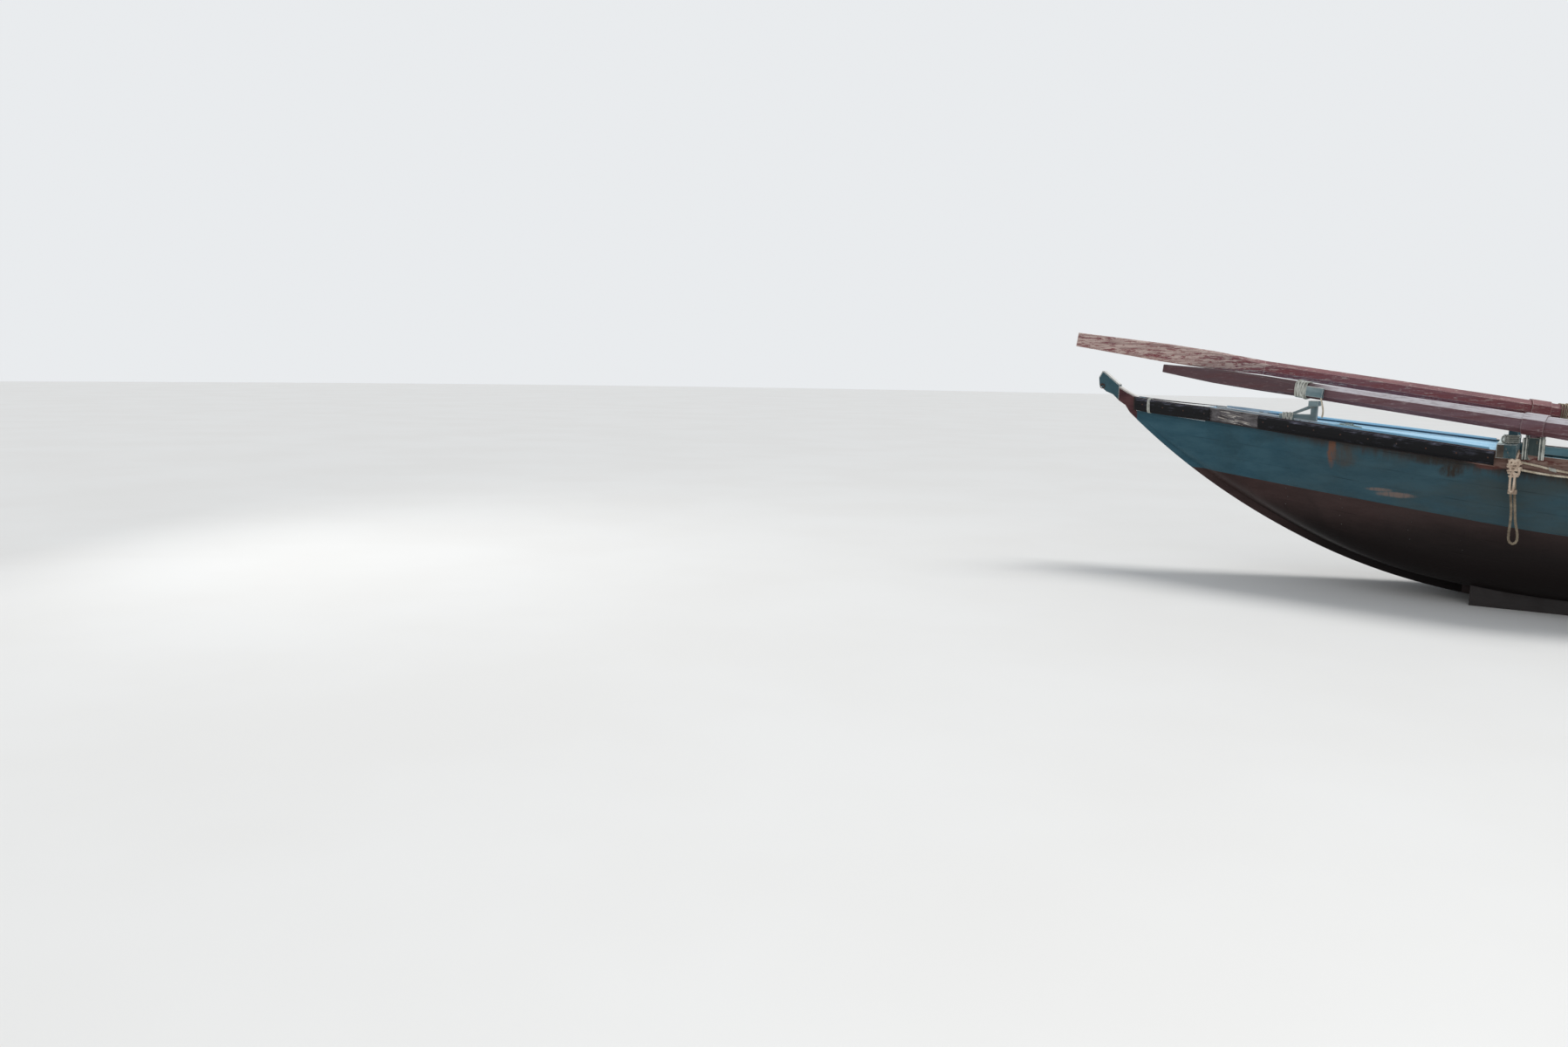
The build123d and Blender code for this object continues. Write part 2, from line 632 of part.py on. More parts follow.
# Forward oar crutch on the foredeck: a foot block, a post, a head and a brace
foot_low = deck_height(CRUTCH_POST_RUN[1]) - 10
foot_top = deck_height(CRUTCH_FOOT_RUN[0]) + CRUTCH_FOOT_HEIGHT
inboard, outboard = CRUTCH_Y - CRUTCH_HALF, CRUTCH_Y + CRUTCH_HALF
head_low = CRUTCH_HEAD_TOP - CRUTCH_HEAD_DEPTH
brace_foot, brace_head = CRUTCH_FOOT_RUN[0] + 50, CRUTCH_POST_RUN[0] + 4
brace = [(brace_foot, foot_top - 5), (brace_foot + 40, foot_top - 5), (brace_head, 1200), (brace_head, 1225)]
with BuildPart() as crutch:
    add(box_between(CRUTCH_POST_RUN, (inboard, foot_low), (outboard, CRUTCH_HEAD_TOP - 5)))
    head_y = (CRUTCH_Y - CRUTCH_HEAD_HALF, CRUTCH_Y + CRUTCH_HEAD_HALF)
    add(box_between(CRUTCH_HEAD_RUN, (head_y[0], head_low), (head_y[1], CRUTCH_HEAD_TOP)))
    add(box_between(CRUTCH_FOOT_RUN, (inboard, foot_low), (outboard, foot_top)))
    with BuildSketch(Plane.XZ.offset(-CRUTCH_Y)):
        with BuildLine():
            Polyline(*side_view(brace), close=True)
        make_face()
    extrude(amount=CRUTCH_BRACE / 2, both=True)
crutch_cutters = (deck_slab, toe_rails["port"], rails["port"], planking["port_topside_planking"])
save("oar_crutch", largest(without(crutch.part, *crutch_cutters)))

# Rope on the port gunwale
knot = box_between(KNOT_RUN, (KNOT_Y[0], KNOT_Z[0]), (KNOT_Y[1], KNOT_Z[1]))
save("gunwale_knot", largest(without(knot, rails["port"], outer_form)))
hitch = box_between(HITCH_RUN, (HITCH_Y[0], HITCH_Z[0]), (HITCH_Y[1], HITCH_Z[1]))
save("aft_hitch", largest(without(hitch, rails["port"], outer_form)))

save("hanging_bight", cord_tube(BIGHT_ROUTE, ROPE))
save("upper_strand", cord_tube(UPPER_ROUTE, STRAND))
save("lower_strand", cord_tube(LOWER_ROUTE, STRAND))

# Lanyard hanging from the port oar's chock
save("chock_lanyard", cord_tube(LANYARD_ROUTE, LANYARD))

# Small heap of line on the foredeck
heap_at, heap_y = LINE_HEAP_AT
slope = (deck_height(0) - deck_height(1000)) / 1000
heap_foot = (aft(heap_at), heap_y, deck_height(heap_at))
heap_plane = Plane(origin=heap_foot, x_dir=(1, 0, slope), z_dir=(-slope, 0, 1))
with BuildPart() as heap:
    with BuildSketch(heap_plane):
        SlotOverall(LINE_HEAP_SIZE[0], LINE_HEAP_SIZE[1])
    extrude(amount=LINE_HEAP_SIZE[2])
    chamfer(heap.faces().sort_by(Axis.Z)[-1].edges(), length=14)
save("deck_line_heap", heap.part)

# Mooring ring at the nose of the stem head
ring_at, ring_z = RING_AT
ring_y = HORN_WIDTH / 2 + RING_PIN[1] / 2
with BuildPart() as ring:
    with Locations(Plane(origin=(aft(ring_at), ring_y, ring_z), z_dir=(0, 1, 0))):
        Cylinder(*RING_PIN)
    hanging_z = ring_z - RING_RADIUS + 2 * RING_WIRE
    with Locations(Plane(origin=(aft(ring_at), ring_y, hanging_z), z_dir=(0, 1, 0))):
        Torus(RING_RADIUS, RING_WIRE)
save("mooring_ring", ring.part)
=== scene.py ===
"""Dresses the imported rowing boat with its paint, bare timber, rubber and rope, and sets up the studio."""

import logging
import math
import random
from dataclasses import dataclass, replace
from enum import Enum

import bmesh
import bpy
from mathutils import Matrix, Vector
from mathutils.bvhtree import BVHTree


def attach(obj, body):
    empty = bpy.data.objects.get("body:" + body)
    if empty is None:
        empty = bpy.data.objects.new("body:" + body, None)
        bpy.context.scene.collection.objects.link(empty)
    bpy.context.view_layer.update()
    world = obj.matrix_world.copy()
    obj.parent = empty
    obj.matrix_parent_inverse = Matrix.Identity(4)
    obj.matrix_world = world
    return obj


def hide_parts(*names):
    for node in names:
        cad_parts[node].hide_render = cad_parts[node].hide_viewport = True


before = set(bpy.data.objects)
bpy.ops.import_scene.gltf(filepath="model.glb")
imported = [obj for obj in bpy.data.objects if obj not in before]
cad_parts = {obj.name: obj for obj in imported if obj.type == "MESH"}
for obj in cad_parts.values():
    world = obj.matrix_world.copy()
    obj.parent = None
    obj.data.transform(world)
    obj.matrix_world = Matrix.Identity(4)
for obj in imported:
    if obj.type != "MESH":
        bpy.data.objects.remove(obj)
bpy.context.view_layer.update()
LOG = logging.getLogger("rowing_boat")

Colour = tuple[float, float, float, float]
Point = tuple[float, float, float]
Socket = bpy.types.NodeSocket
Finishes = dict[str, bpy.types.Material]
Hit = tuple[Vector, Vector]

FORWARD, PORTWARD, UPWARD = Vector((1, 0, 0)), Vector((0, 1, 0)), Vector((0, 0, 1))

# X of the stem head's tip, depth of the topside paint below the sheer, and width of a plank.
TIP_X = 3.1
TOPSIDE_DEPTH = 0.445
PLANK = 0.1112

# Height of the sheer at X, as the factors of rising powers of X.
SHEER = (0.95611, 0.05811, 0.04154, -0.00551, -0.00403, 0.00029, 0.00022)

# Height of the foredeck's fore end, its distance aft of the tip, and the deck's fall per metre.
DECK_TOP = 1.225
DECK_START = 0.285
DECK_FALL = 0.10274


class Body(Enum):
    """The CAD bodies that pieces ride on."""

    HULL = "hull"
    PORT_OAR = "port_oar"
    STARBOARD_OAR = "starboard_oar"


class Side(Enum):
    """The boat's two sides, each with the sign that Y has there."""

    PORT = 1
    STARBOARD = -1

    @property
    def label(self) -> str:
        """The side's name, as pieces and nodes carry it."""
        return self.name.lower()


class Axis(Enum):
    """Directions in which a finish changes."""

    ALONG = "X"
    UP = "Z"


class Calc(Enum):
    """Operations of a math node."""

    ADD = "ADD"
    SUBTRACT = "SUBTRACT"
    MULTIPLY = "MULTIPLY"
    MULTIPLY_ADD = "MULTIPLY_ADD"
    DIVIDE = "DIVIDE"
    FLOOR = "FLOOR"
    PINGPONG = "PINGPONG"
    MAXIMUM = "MAXIMUM"


def tint(red: int, green: int, blue: int) -> Colour:
    """Linear colour of a paint given as screen red, green and blue.

    Args:
        red: Red, 0 to 255.
        green: Green, 0 to 255.
        blue: Blue, 0 to 255.

    Returns:
        The linear colour with full alpha.
    """
    shares = [value / 255 for value in (red, green, blue)]
    linear = [v / 12.92 if v <= 0.04045 else ((v + 0.055) / 1.055) ** 2.4 for v in shares]
    return (linear[0], linear[1], linear[2], 1.0)


def aft(distance: float) -> float:
    """X of a place that lies a distance, in metres, aft of the stem head's tip."""
    return TIP_X - distance


def at(distance: float, y: float, z: float) -> Point:
    """Place in the boat's frame.

    Args:
        distance: Distance aft of the stem head's tip.
        y: Distance to port.
        z: Height.

    Returns:
        The place.
    """
    return (aft(distance), y, z)


def deck_z(distance: float) -> float:
    """Height of the foredeck's top at a distance aft."""
    return DECK_TOP - DECK_FALL * (distance - DECK_START)


def sheer_z(distance: float) -> float:
    """Height of the sheer at a distance aft."""
    return sum(factor * aft(distance) ** power for power, factor in enumerate(SHEER))


class Shader:
    """One material's node tree, with short calls that add and link its nodes."""

    def __init__(self, name: str) -> None:
        """Starts a material.

        Args:
            name: The material's name.
        """
        self.material = bpy.data.materials.new(name)
        self.material.use_nodes = True
        self.nodes = self.material.node_tree.nodes
        self.links = self.material.node_tree.links
        self.surface = self.nodes["Principled BSDF"]
        self.place = self.nodes.new("ShaderNodeTexCoord")
        self.colour: Socket | Colour = (0.5, 0.5, 0.5, 1.0)
        self.height: Socket | None = None

    def join(self, source: "Socket | float | tuple", target: Socket) -> None:
        """Links a socket to another, or sets a plain value on it.

        Args:
            source: A socket or a plain value.
            target: The socket that takes it.
        """
        if isinstance(source, bpy.types.NodeSocket):
            self.links.new(source, target)
        else:
            target.default_value = source

    def mapped(self, scale: Point = (1, 1, 1), turn: Point = (0, 0, 0), shift: Point = (0, 0, 0)) -> Socket:
        """Object coordinates, stretched and turned.

        Args:
            scale: Scale along each axis.
            turn: Rotation about each axis, in radians.
            shift: Move along each axis.

        Returns:
            The vector socket.
        """
        turned = self.nodes.new("ShaderNodeMapping")
        turned.inputs["Rotation"].default_value = turn
        self.links.new(self.place.outputs["Object"], turned.inputs["Vector"])
        sized = self.nodes.new("ShaderNodeMapping")
        sized.inputs["Scale"].default_value = scale
        sized.inputs["Location"].default_value = shift
        self.links.new(turned.outputs["Vector"], sized.inputs["Vector"])
        return sized.outputs["Vector"]

    def noise(
        self, vector: Socket, scale: float, detail: float = 4, rough: float = 0.55, warp: float = 0
    ) -> Socket:
        """Noise texture's value.

        Args:
            vector: Where to read it.
            scale: Its scale.
            detail: Octaves.
            rough: Share that each octave keeps.
            warp: Distortion.

        Returns:
            The value socket, about 0.3 to 0.7.
        """
        node = self.nodes.new("ShaderNodeTexNoise")
        self.links.new(vector, node.inputs["Vector"])
        for name, value in (("Scale", scale), ("Detail", detail), ("Roughness", rough), ("Distortion", warp)):
            node.inputs[name].default_value = value
        return node.outputs["Fac"]

    def axis(self, vector: Socket, axis: Axis) -> Socket:
        """One component of a vector.

        Args:
            vector: Vector socket to take apart.
            axis: Which of its components.

        Returns:
            The value socket.
        """
        node = self.nodes.new("ShaderNodeSeparateXYZ")
        self.links.new(vector, node.inputs[0])
        return node.outputs[axis.value]

    def up(self) -> Socket:
        """How far the surface faces up, -1 to 1."""
        return self.axis(self.place.outputs["Normal"], Axis.UP)

    def below_sheer(self) -> Socket:
        """Depth below the sheer, in metres.

        Returns:
            The value socket.
        """
        place = self.mapped()
        length = self.axis(place, Axis.ALONG)
        height: Socket | float = SHEER[-1]
        for factor in reversed(SHEER[:-1]):
            height = self.calc(Calc.MULTIPLY_ADD, length, height, factor)
        return self.calc(Calc.SUBTRACT, height, self.axis(place, Axis.UP))

    def dot(self, first: Socket, second: Socket) -> Socket:
        """Dot product of two vectors.

        Args:
            first: One vector.
            second: The other.

        Returns:
            The value socket.
        """
        node = self.nodes.new("ShaderNodeVectorMath")
        node.operation = "DOT_PRODUCT"
        self.links.new(first, node.inputs[0])
        self.links.new(second, node.inputs[1])
        return node.outputs["Value"]

    def normals(self, reach: float) -> tuple[Socket, Socket]:
        """Normals of the surface with its edges rounded, and as it is.

        Args:
            reach: Radius that the edges are rounded to, in metres.

        Returns:
            The rounded normal and the plain one.
        """
        rounded = self.nodes.new("ShaderNodeBevel")
        rounded.samples = 4
        rounded.inputs["Radius"].default_value = reach
        plain = self.nodes.new("ShaderNodeNewGeometry")
        return rounded.outputs["Normal"], plain.outputs["Normal"]

    def edges(self, reach: float) -> Socket:
        """Mask of the piece's own edges.

        Args:
            reach: How far wear comes in from an edge, in metres.

        Returns:
            Mask, 1 on an edge.
        """
        return self.fade(self.dot(*self.normals(reach)), 0.985, 0.86)

    def top_edges(self, reach: float) -> Socket:
        """Mask of the edges along the top of the piece's sides.

        Args:
            reach: How far the mask comes down from an edge, in metres.

        Returns:
            Mask, 1 on an edge.
        """
        rounded, plain = self.normals(reach)
        lifted = self.calc(Calc.SUBTRACT, self.axis(rounded, Axis.UP), self.axis(plain, Axis.UP))
        return self.fade(lifted, 0.06, 0.28)

    def calc(self, kind: Calc, *values: "Socket | float") -> Socket:
        """Result of a math node.

        Args:
            kind: The node's operation.
            values: Its inputs in order.

        Returns:
            The value socket.
        """
        node = self.nodes.new("ShaderNodeMath")
        node.operation = kind.value
        for index, value in enumerate(values):
            self.join(value, node.inputs[index])
        return node.outputs[0]

    def both(self, first: "Socket | float", second: "Socket | float") -> Socket:
        """Product of two masks."""
        return self.calc(Calc.MULTIPLY, first, second)

    def moved(self, value: "Socket | float", other: Socket, share: float) -> Socket:
        """A value with a share of another added to it."""
        return self.calc(Calc.MULTIPLY_ADD, other, share, value)

    def board_tone(self, across: Socket, width: float) -> Socket:
        """Random tone that each board has along its whole length.

        Args:
            across: Distance across the boards.
            width: A board's width.

        Returns:
            The value socket, 0 to 1.
        """
        node = self.nodes.new("ShaderNodeTexWhiteNoise")
        node.noise_dimensions = "1D"
        self.links.new(self.calc(Calc.FLOOR, self.calc(Calc.DIVIDE, across, width)), node.inputs["W"])
        return node.outputs["Value"]

    def fade(self, value: Socket, low: float, high: float, start: float = 0, end: float = 1) -> Socket:
        """Smooth step from start to end as the value goes from low to high.

        Args:
            value: What drives it.
            low: Where it starts.
            high: Where it ends.
            start: Result at low.
            end: Result at high.

        Returns:
            The value socket.
        """
        node = self.nodes.new("ShaderNodeMapRange")
        node.interpolation_type = "SMOOTHSTEP"
        self.links.new(value, node.inputs["Value"])
        for name, number in (("From Min", low), ("From Max", high), ("To Min", start), ("To Max", end)):
            node.inputs[name].default_value = number
        return node.outputs[0]

    def spot(self, centre: Point, size: Point, ragged: float = 0.5) -> Socket:
        """Ragged round patch at a place.

        Args:
            centre: Its middle, in metres.
            size: Its half sizes.
            ragged: How far its edge wanders.

        Returns:
            Mask, 1 inside.
        """
        scale = tuple(1 / value for value in size)
        shift = tuple(-place / value for place, value in zip(centre, size))
        node = self.nodes.new("ShaderNodeVectorMath")
        node.operation = "LENGTH"
        self.links.new(self.mapped(scale, shift=shift), node.inputs[0])
        wander = self.noise(self.mapped(), 14, 6, 0.65)
        reach = self.moved(node.outputs["Value"], wander, ragged * 2)
        return self.fade(reach, 1.0 + ragged, 0.45 + ragged)

    def lay(self, mask: "Socket | float", colour: "Colour | Socket", share: float = 1.0) -> None:
        """Lays a colour over what is there.

        Args:
            mask: Where, 0 to 1.
            colour: The colour.
            share: How much of it covers where the mask is 1.
        """
        node = self.nodes.new("ShaderNodeMix")
        node.data_type = "RGBA"
        self.join(mask if share == 1.0 else self.both(mask, share), node.inputs[0])
        self.join(self.colour, node.inputs[6])
        self.join(colour, node.inputs[7])
        self.colour = node.outputs[2]

    def raise_by(self, value: Socket, depth: float) -> None:
        """Adds to the relief.

        Args:
            value: What stands proud, 0 to 1.
            depth: How far, in millimetres; negative for a hollow.
        """
        scaled = self.both(value, depth)
        self.height = scaled if self.height is None else self.calc(Calc.ADD, self.height, scaled)

    def finish(self, roughness: "Socket | float", specular: float = 0.4) -> bpy.types.Material:
        """Links colour, relief and roughness to the surface.

        Args:
            roughness: Surface roughness.
            specular: Specular level.

        Returns:
            The material.
        """
        self.join(self.colour, self.surface.inputs["Base Color"])
        self.join(roughness, self.surface.inputs["Roughness"])
        self.surface.inputs["Specular IOR Level"].default_value = specular
        if self.height is not None:
            bump = self.nodes.new("ShaderNodeBump")
            bump.inputs["Strength"].default_value = 1.0
            bump.inputs["Distance"].default_value = 0.001
            self.links.new(self.height, bump.inputs["Height"])
            self.links.new(bump.outputs["Normal"], self.surface.inputs["Normal"])
        return self.material


@dataclass(frozen=True)
class BrushedPaint:
    """Oil paint brushed along the timber, bleached, chipped and dirty."""

    name: str
    coat: Colour
    bleached: Colour
    under: Colour
    dirt: Colour
    chips: float = 0.3
    soiling: float = 0.4
    grain: Point = (1.2, 9.0, 9.0)
    roughness: float = 0.55
    # Pale colour of worn edges; along the top edges and on the faces that look up it is also painted
    # highlight.
    worn: Colour | None = None
    edge_reach: float = 0.006
    crown: float = 0.0
    crest: float = 0.0

    def coats(self, shader: Shader | None = None) -> Shader:
        """Lays tone, brush marks, dirt, chips, worn edges, and pale tops that are worn paint and painted
        highlight.

        Args:
            shader: A material that takes this paint as one of several; a new one is made without it.

        Returns:
            The shader, ready for more layers.
        """
        shader = Shader(self.name) if shader is None else shader
        shader.height = None
        along = shader.mapped(self.grain)
        shader.colour = self.coat
        tone = shader.noise(along, 1.6, 6, 0.6)
        shader.lay(shader.fade(tone, 0.36, 0.68), self.bleached)
        brush = shader.noise(along, 9, 5, 0.65)
        shader.lay(shader.fade(brush, 0.35, 0.7, 0.0, 0.28), self.bleached)
        grime = shader.noise(shader.mapped(), 2.3, 8, 0.62, 0.4)
        shader.lay(shader.fade(grime, 0.5, 0.75, 0.0, self.soiling), self.dirt)
        flake = shader.noise(along, 5.5, 9, 0.72)
        edge = 0.72 - 0.22 * self.chips
        chipped = shader.fade(flake, edge, edge + 0.015)
        rim = shader.fade(flake, edge - 0.035, edge, 0.0, 0.35)
        shader.lay(rim, self.dirt)
        shader.lay(chipped, self.under)
        if self.worn is not None:
            self.wear(shader, flake, self.worn)
        shader.raise_by(brush, 0.7)
        shader.raise_by(tone, 0.8)
        shader.raise_by(chipped, -0.5)
        return shader

    def wear(self, shader: Shader, flake: Socket, bare: Colour) -> None:
        """Wears through the paint on the edges, and lays the same pale colour along the top edges and on the
        faces that look up, as worn paint and painted highlight.

        Args:
            shader: The material.
            flake: Noise that breaks up the wear.
            bare: Colour of what shows, also used as the painted highlight.
        """
        rubbed = shader.moved(shader.edges(self.edge_reach), flake, 1.6)
        shader.lay(shader.fade(rubbed, 1.22, 1.5), bare, 0.9)
        # Pale top edges and faces that look up: worn paint, and painted highlight.
        if self.crest > 0:
            crest_wear_and_light = shader.moved(shader.top_edges(self.crest), flake, 0.8)
            shader.lay(shader.fade(crest_wear_and_light, 0.72, 0.95), bare)
        if self.crown > 0:
            up_wear_and_light = shader.moved(shader.up(), flake, 0.9)
            start = 1.42 - 0.3 * self.crown
            shader.lay(shader.fade(up_wear_and_light, start, start + 0.14), bare)

    def material(self) -> bpy.types.Material:
        """The finished material.

        Returns:
            The material.
        """
        shader = self.coats()
        sheen = shader.noise(shader.mapped((3, 3, 3)), 3, 5)
        return shader.finish(shader.fade(sheen, 0.3, 0.7, self.roughness - 0.1, self.roughness + 0.14))


@dataclass(frozen=True)
class Stain:
    """One rubbed, rusty or dirty patch on the planking."""

    centre: Point
    size: Point
    colour: Colour
    strength: float


@dataclass(frozen=True)
class HullPaint:
    """Paint on the planking: one finish outside, one inside, with the planks' seams."""

    outside: BrushedPaint
    inside: BrushedPaint
    plank: float
    seam: Colour
    dust: Colour
    washed: Colour
    stains: tuple[Stain, ...] = ()
    # Height and colour of the painted shade on the low part of the hull; it is left out unless the height is
    # above zero.
    sink_from: float = -1.0
    sink: Colour = (0.0, 0.0, 0.0, 1.0)
    bilge_z: float = 0.5
    middle_z: float = 1.12

    def weather(self, shader: Shader, depth: Socket) -> None:
        """Adds dust abaft the foredeck, dirt washed down from the rail, stains and painted shade on the low
        part.

        Args:
            shader: The material.
            depth: Depth below the sheer.
        """
        place = shader.mapped()
        height, length = shader.axis(place, Axis.UP), shader.axis(place, Axis.ALONG)
        cloud = shader.noise(shader.mapped((0.9, 2, 2.6)), 1.3, 6, 0.6)
        dusty = shader.fade(cloud, 0.36, 0.66, 0.25, 0.85)
        shader.lay(shader.both(dusty, shader.fade(length, 2.1, 0.9)), self.dust)
        runs = shader.noise(shader.mapped((9, 9, 1.0)), 2.4, 7, 0.7)
        low_edge = shader.moved(depth, runs, -0.16)
        streaky = shader.fade(low_edge, 0.085, 0.005, 0.0, 0.8)
        aft_part = shader.fade(length, 1.95, 1.45)
        shader.lay(shader.both(streaky, aft_part), self.washed)
        # Painted shade: the planking darkens towards its lowest part.
        if self.sink_from > 0:
            wander = shader.noise(shader.mapped((0.8, 3, 3)), 2.0, 6, 0.6)
            level = shader.moved(height, wander, 0.22)
            shader.lay(shader.fade(level, self.sink_from + 0.24, self.sink_from - 0.04, 0.0, 0.92), self.sink)
        for stain in self.stains:
            streak = shader.noise(shader.mapped((5, 5, 1.2)), 9, 6, 0.7)
            patch = shader.fade(streak, 0.34, 0.56, 0.35, stain.strength)
            spot = shader.spot(stain.centre, stain.size, 0.35)
            shader.lay(shader.both(spot, patch), stain.colour)

    def material(self) -> bpy.types.Material:
        """Builds both paints, adds seams and stains, and keeps the inside paint to the inner faces.

        Returns:
            The material.
        """
        shader = Shader(self.outside.name)
        depth = shader.below_sheer()
        wobble = shader.noise(shader.mapped((2, 2, 2)), 2.0, 3)
        wavy = shader.moved(depth, wobble, 0.006)
        nearest = shader.calc(Calc.PINGPONG, wavy, self.plank / 2)
        open_here = shader.noise(shader.mapped((1.5, 1, 1)), 3.5, 4, 0.6)
        opened = shader.fade(open_here, 0.44, 0.66, 0.12, 1.0)
        line = shader.both(shader.fade(nearest, 0.0042, 0.0012), opened)
        self.inside.coats(shader)
        height = shader.axis(shader.mapped(), Axis.UP)
        shader.lay(shader.fade(height, self.bilge_z, self.bilge_z - 0.38), self.inside.dirt, 0.65)
        shader.lay(line, self.inside.dirt, 0.6)
        inner = shader.colour
        self.outside.coats(shader)
        shader.lay(shader.board_tone(wavy, self.plank), self.outside.dirt, 0.14)
        self.weather(shader, depth)
        shader.lay(line, self.seam, 0.38)
        outer = shader.colour
        shader.raise_by(line, -0.8)
        shader.raise_by(shader.fade(nearest, 0.0, self.plank / 2), 0.7)
        shader.colour = inner
        from_middle = shader.mapped((0, 1, 1), shift=(0, 0, -self.middle_z))
        facing = shader.dot(shader.place.outputs["Normal"], from_middle)
        shader.lay(shader.fade(facing, -0.01, 0.01), outer)
        return shader.finish(self.outside.roughness, specular=0.12)


@dataclass(frozen=True)
class StemPaint:
    """Stem post: the hull's two colours below its head, and the head's dark red forward of the planking."""

    name: str
    head: BrushedPaint
    topside: BrushedPaint
    bottom: BrushedPaint
    head_from: float
    # Colour and height of the painted shade low on the stem.
    sink: Colour
    sink_from: float = 0.5

    def material(self) -> bpy.types.Material:
        """The finished material.

        Returns:
            The material.
        """
        shader = Shader(self.name)
        self.head.coats(shader)
        head = shader.colour
        self.bottom.coats(shader)
        # Painted shade: the stem darkens towards its foot, as the bottom planking does.
        height = shader.axis(shader.mapped(), Axis.UP)
        shader.lay(shader.fade(height, self.sink_from, self.sink_from - 0.28), self.sink, 0.9)
        bottom = shader.colour
        self.topside.coats(shader)
        wander = shader.noise(shader.mapped((4, 4, 4)), 3.0, 4)
        depth = shader.moved(shader.below_sheer(), wander, 0.012)
        shader.lay(shader.fade(depth, TOPSIDE_DEPTH + 0.003, TOPSIDE_DEPTH + 0.009), bottom)
        length = shader.axis(shader.mapped(), Axis.ALONG)
        ahead = shader.moved(length, wander, 0.05)
        shader.lay(shader.fade(ahead, self.head_from + 0.02, self.head_from + 0.035), head)
        return shader.finish(0.6, specular=0.15)


@dataclass(frozen=True)
class BareTimber:
    """Unpainted, weathered timber with open grain."""

    name: str
    wood: Colour
    silver: Colour
    crack: Colour
    silvering: float = 0.5
    ghost: Colour | None = None

    def coats(self, shader: Shader | None = None) -> Shader:
        """Lays the grain, its silvering, what is left of old paint and the cracks.

        Args:
            shader: A material that takes this timber as one of several; a new one is made without it.

        Returns:
            The shader, ready for more layers.
        """
        shader = Shader(self.name) if shader is None else shader
        shader.height = None
        grain = shader.mapped((1.1, 26, 26))
        shader.colour = self.wood
        figure = shader.noise(grain, 2.0, 8, 0.65, 0.3)
        shader.lay(shader.fade(figure, 0.32, 0.7), self.silver)
        weather = shader.noise(shader.mapped((1.4, 3, 3)), 2.2, 6, 0.6)
        shader.lay(shader.fade(weather, 0.42, 0.66, 0.0, self.silvering), self.silver)
        if self.ghost is not None:
            old = shader.noise(shader.mapped((2.2, 7, 7)), 2.6, 9, 0.7)
            shader.lay(shader.fade(old, 0.53, 0.6), self.ghost)
        split = shader.noise(grain, 5.0, 7, 0.7)
        shader.lay(shader.fade(split, 0.36, 0.3, 0.0, 0.85), self.crack)
        shader.raise_by(figure, 1.1)
        shader.raise_by(shader.fade(split, 0.36, 0.3), -0.8)
        return shader

    def material(self) -> bpy.types.Material:
        """The finished material.

        Returns:
            The material.
        """
        shader = self.coats()
        sheen = shader.noise(shader.mapped((2, 2, 2)), 3)
        return shader.finish(shader.fade(sheen, 0.3, 0.7, 0.62, 0.85), specular=0.3)


@dataclass(frozen=True)
class RailTimber:
    """Gunwale rail: bare timber, splintered where the rubber is missing; where the rubber covers it, painted
    shade darkens it, most along its low edge, and a painted highlight runs in streaks along its crest.
    """

    name: str
    timber: BareTimber
    splintered: BareTimber
    # Colours of the painted shade, of the pale tops in the gap (worn wood and painted highlight), and of the
    # painted crest highlight.
    shade: Colour
    pale: Colour
    crest: Colour
    gap: tuple[float, float]
    rubber_to: float

    def material(self) -> bpy.types.Material:
        """The finished material.

        Returns:
            The material.
        """
        shader = Shader(self.name)
        self.splintered.coats(shader)
        torn = shader.colour
        relief = shader.height
        self.timber.coats(shader)
        length = shader.axis(shader.mapped(), Axis.ALONG)
        wander = shader.noise(shader.mapped((3, 3, 3)), 3.0, 4)
        ragged = shader.moved(length, wander, 0.05)
        after_start = shader.fade(ragged, self.gap[0] + 0.02, self.gap[0] + 0.03)
        before_end = shader.fade(ragged, self.gap[1] + 0.03, self.gap[1] + 0.02)
        here = shader.both(after_start, before_end)
        shader.lay(here, torn)
        shader.raise_by(shader.both(relief, here), 1.5)
        # Pale faces that look up in the gap: worn wood, and painted highlight.
        up_wear_and_light = shader.moved(shader.up(), wander, 0.6)
        shader.lay(shader.both(shader.fade(up_wear_and_light, 1.05, 1.22), here), self.pale, 0.85)
        # Painted shade over the rail where the rubber covers it, and again along its low edge.
        depth = shader.moved(shader.below_sheer(), wander, 0.02)
        under_rubber = shader.fade(length, self.rubber_to, self.rubber_to + 0.1)
        closed = shader.both(shader.calc(Calc.SUBTRACT, 1.0, here), under_rubber)
        shader.lay(closed, self.shade, 0.85)
        low = shader.both(shader.fade(depth, 0.085, 0.1), under_rubber)
        shader.lay(low, self.shade, 0.85)
        # Painted highlight in streaks on the faces that look up, where the rubber covers the rail.
        crest_wear_and_light = shader.noise(shader.mapped((1.5, 30, 30)), 3.0, 7, 0.7)
        crest = shader.both(shader.fade(shader.up(), 0.3, 0.7), closed)
        shader.lay(shader.both(crest, shader.fade(crest_wear_and_light, 0.47, 0.66, 0.05, 0.8)), self.crest)
        return shader.finish(0.78, specular=0.3)


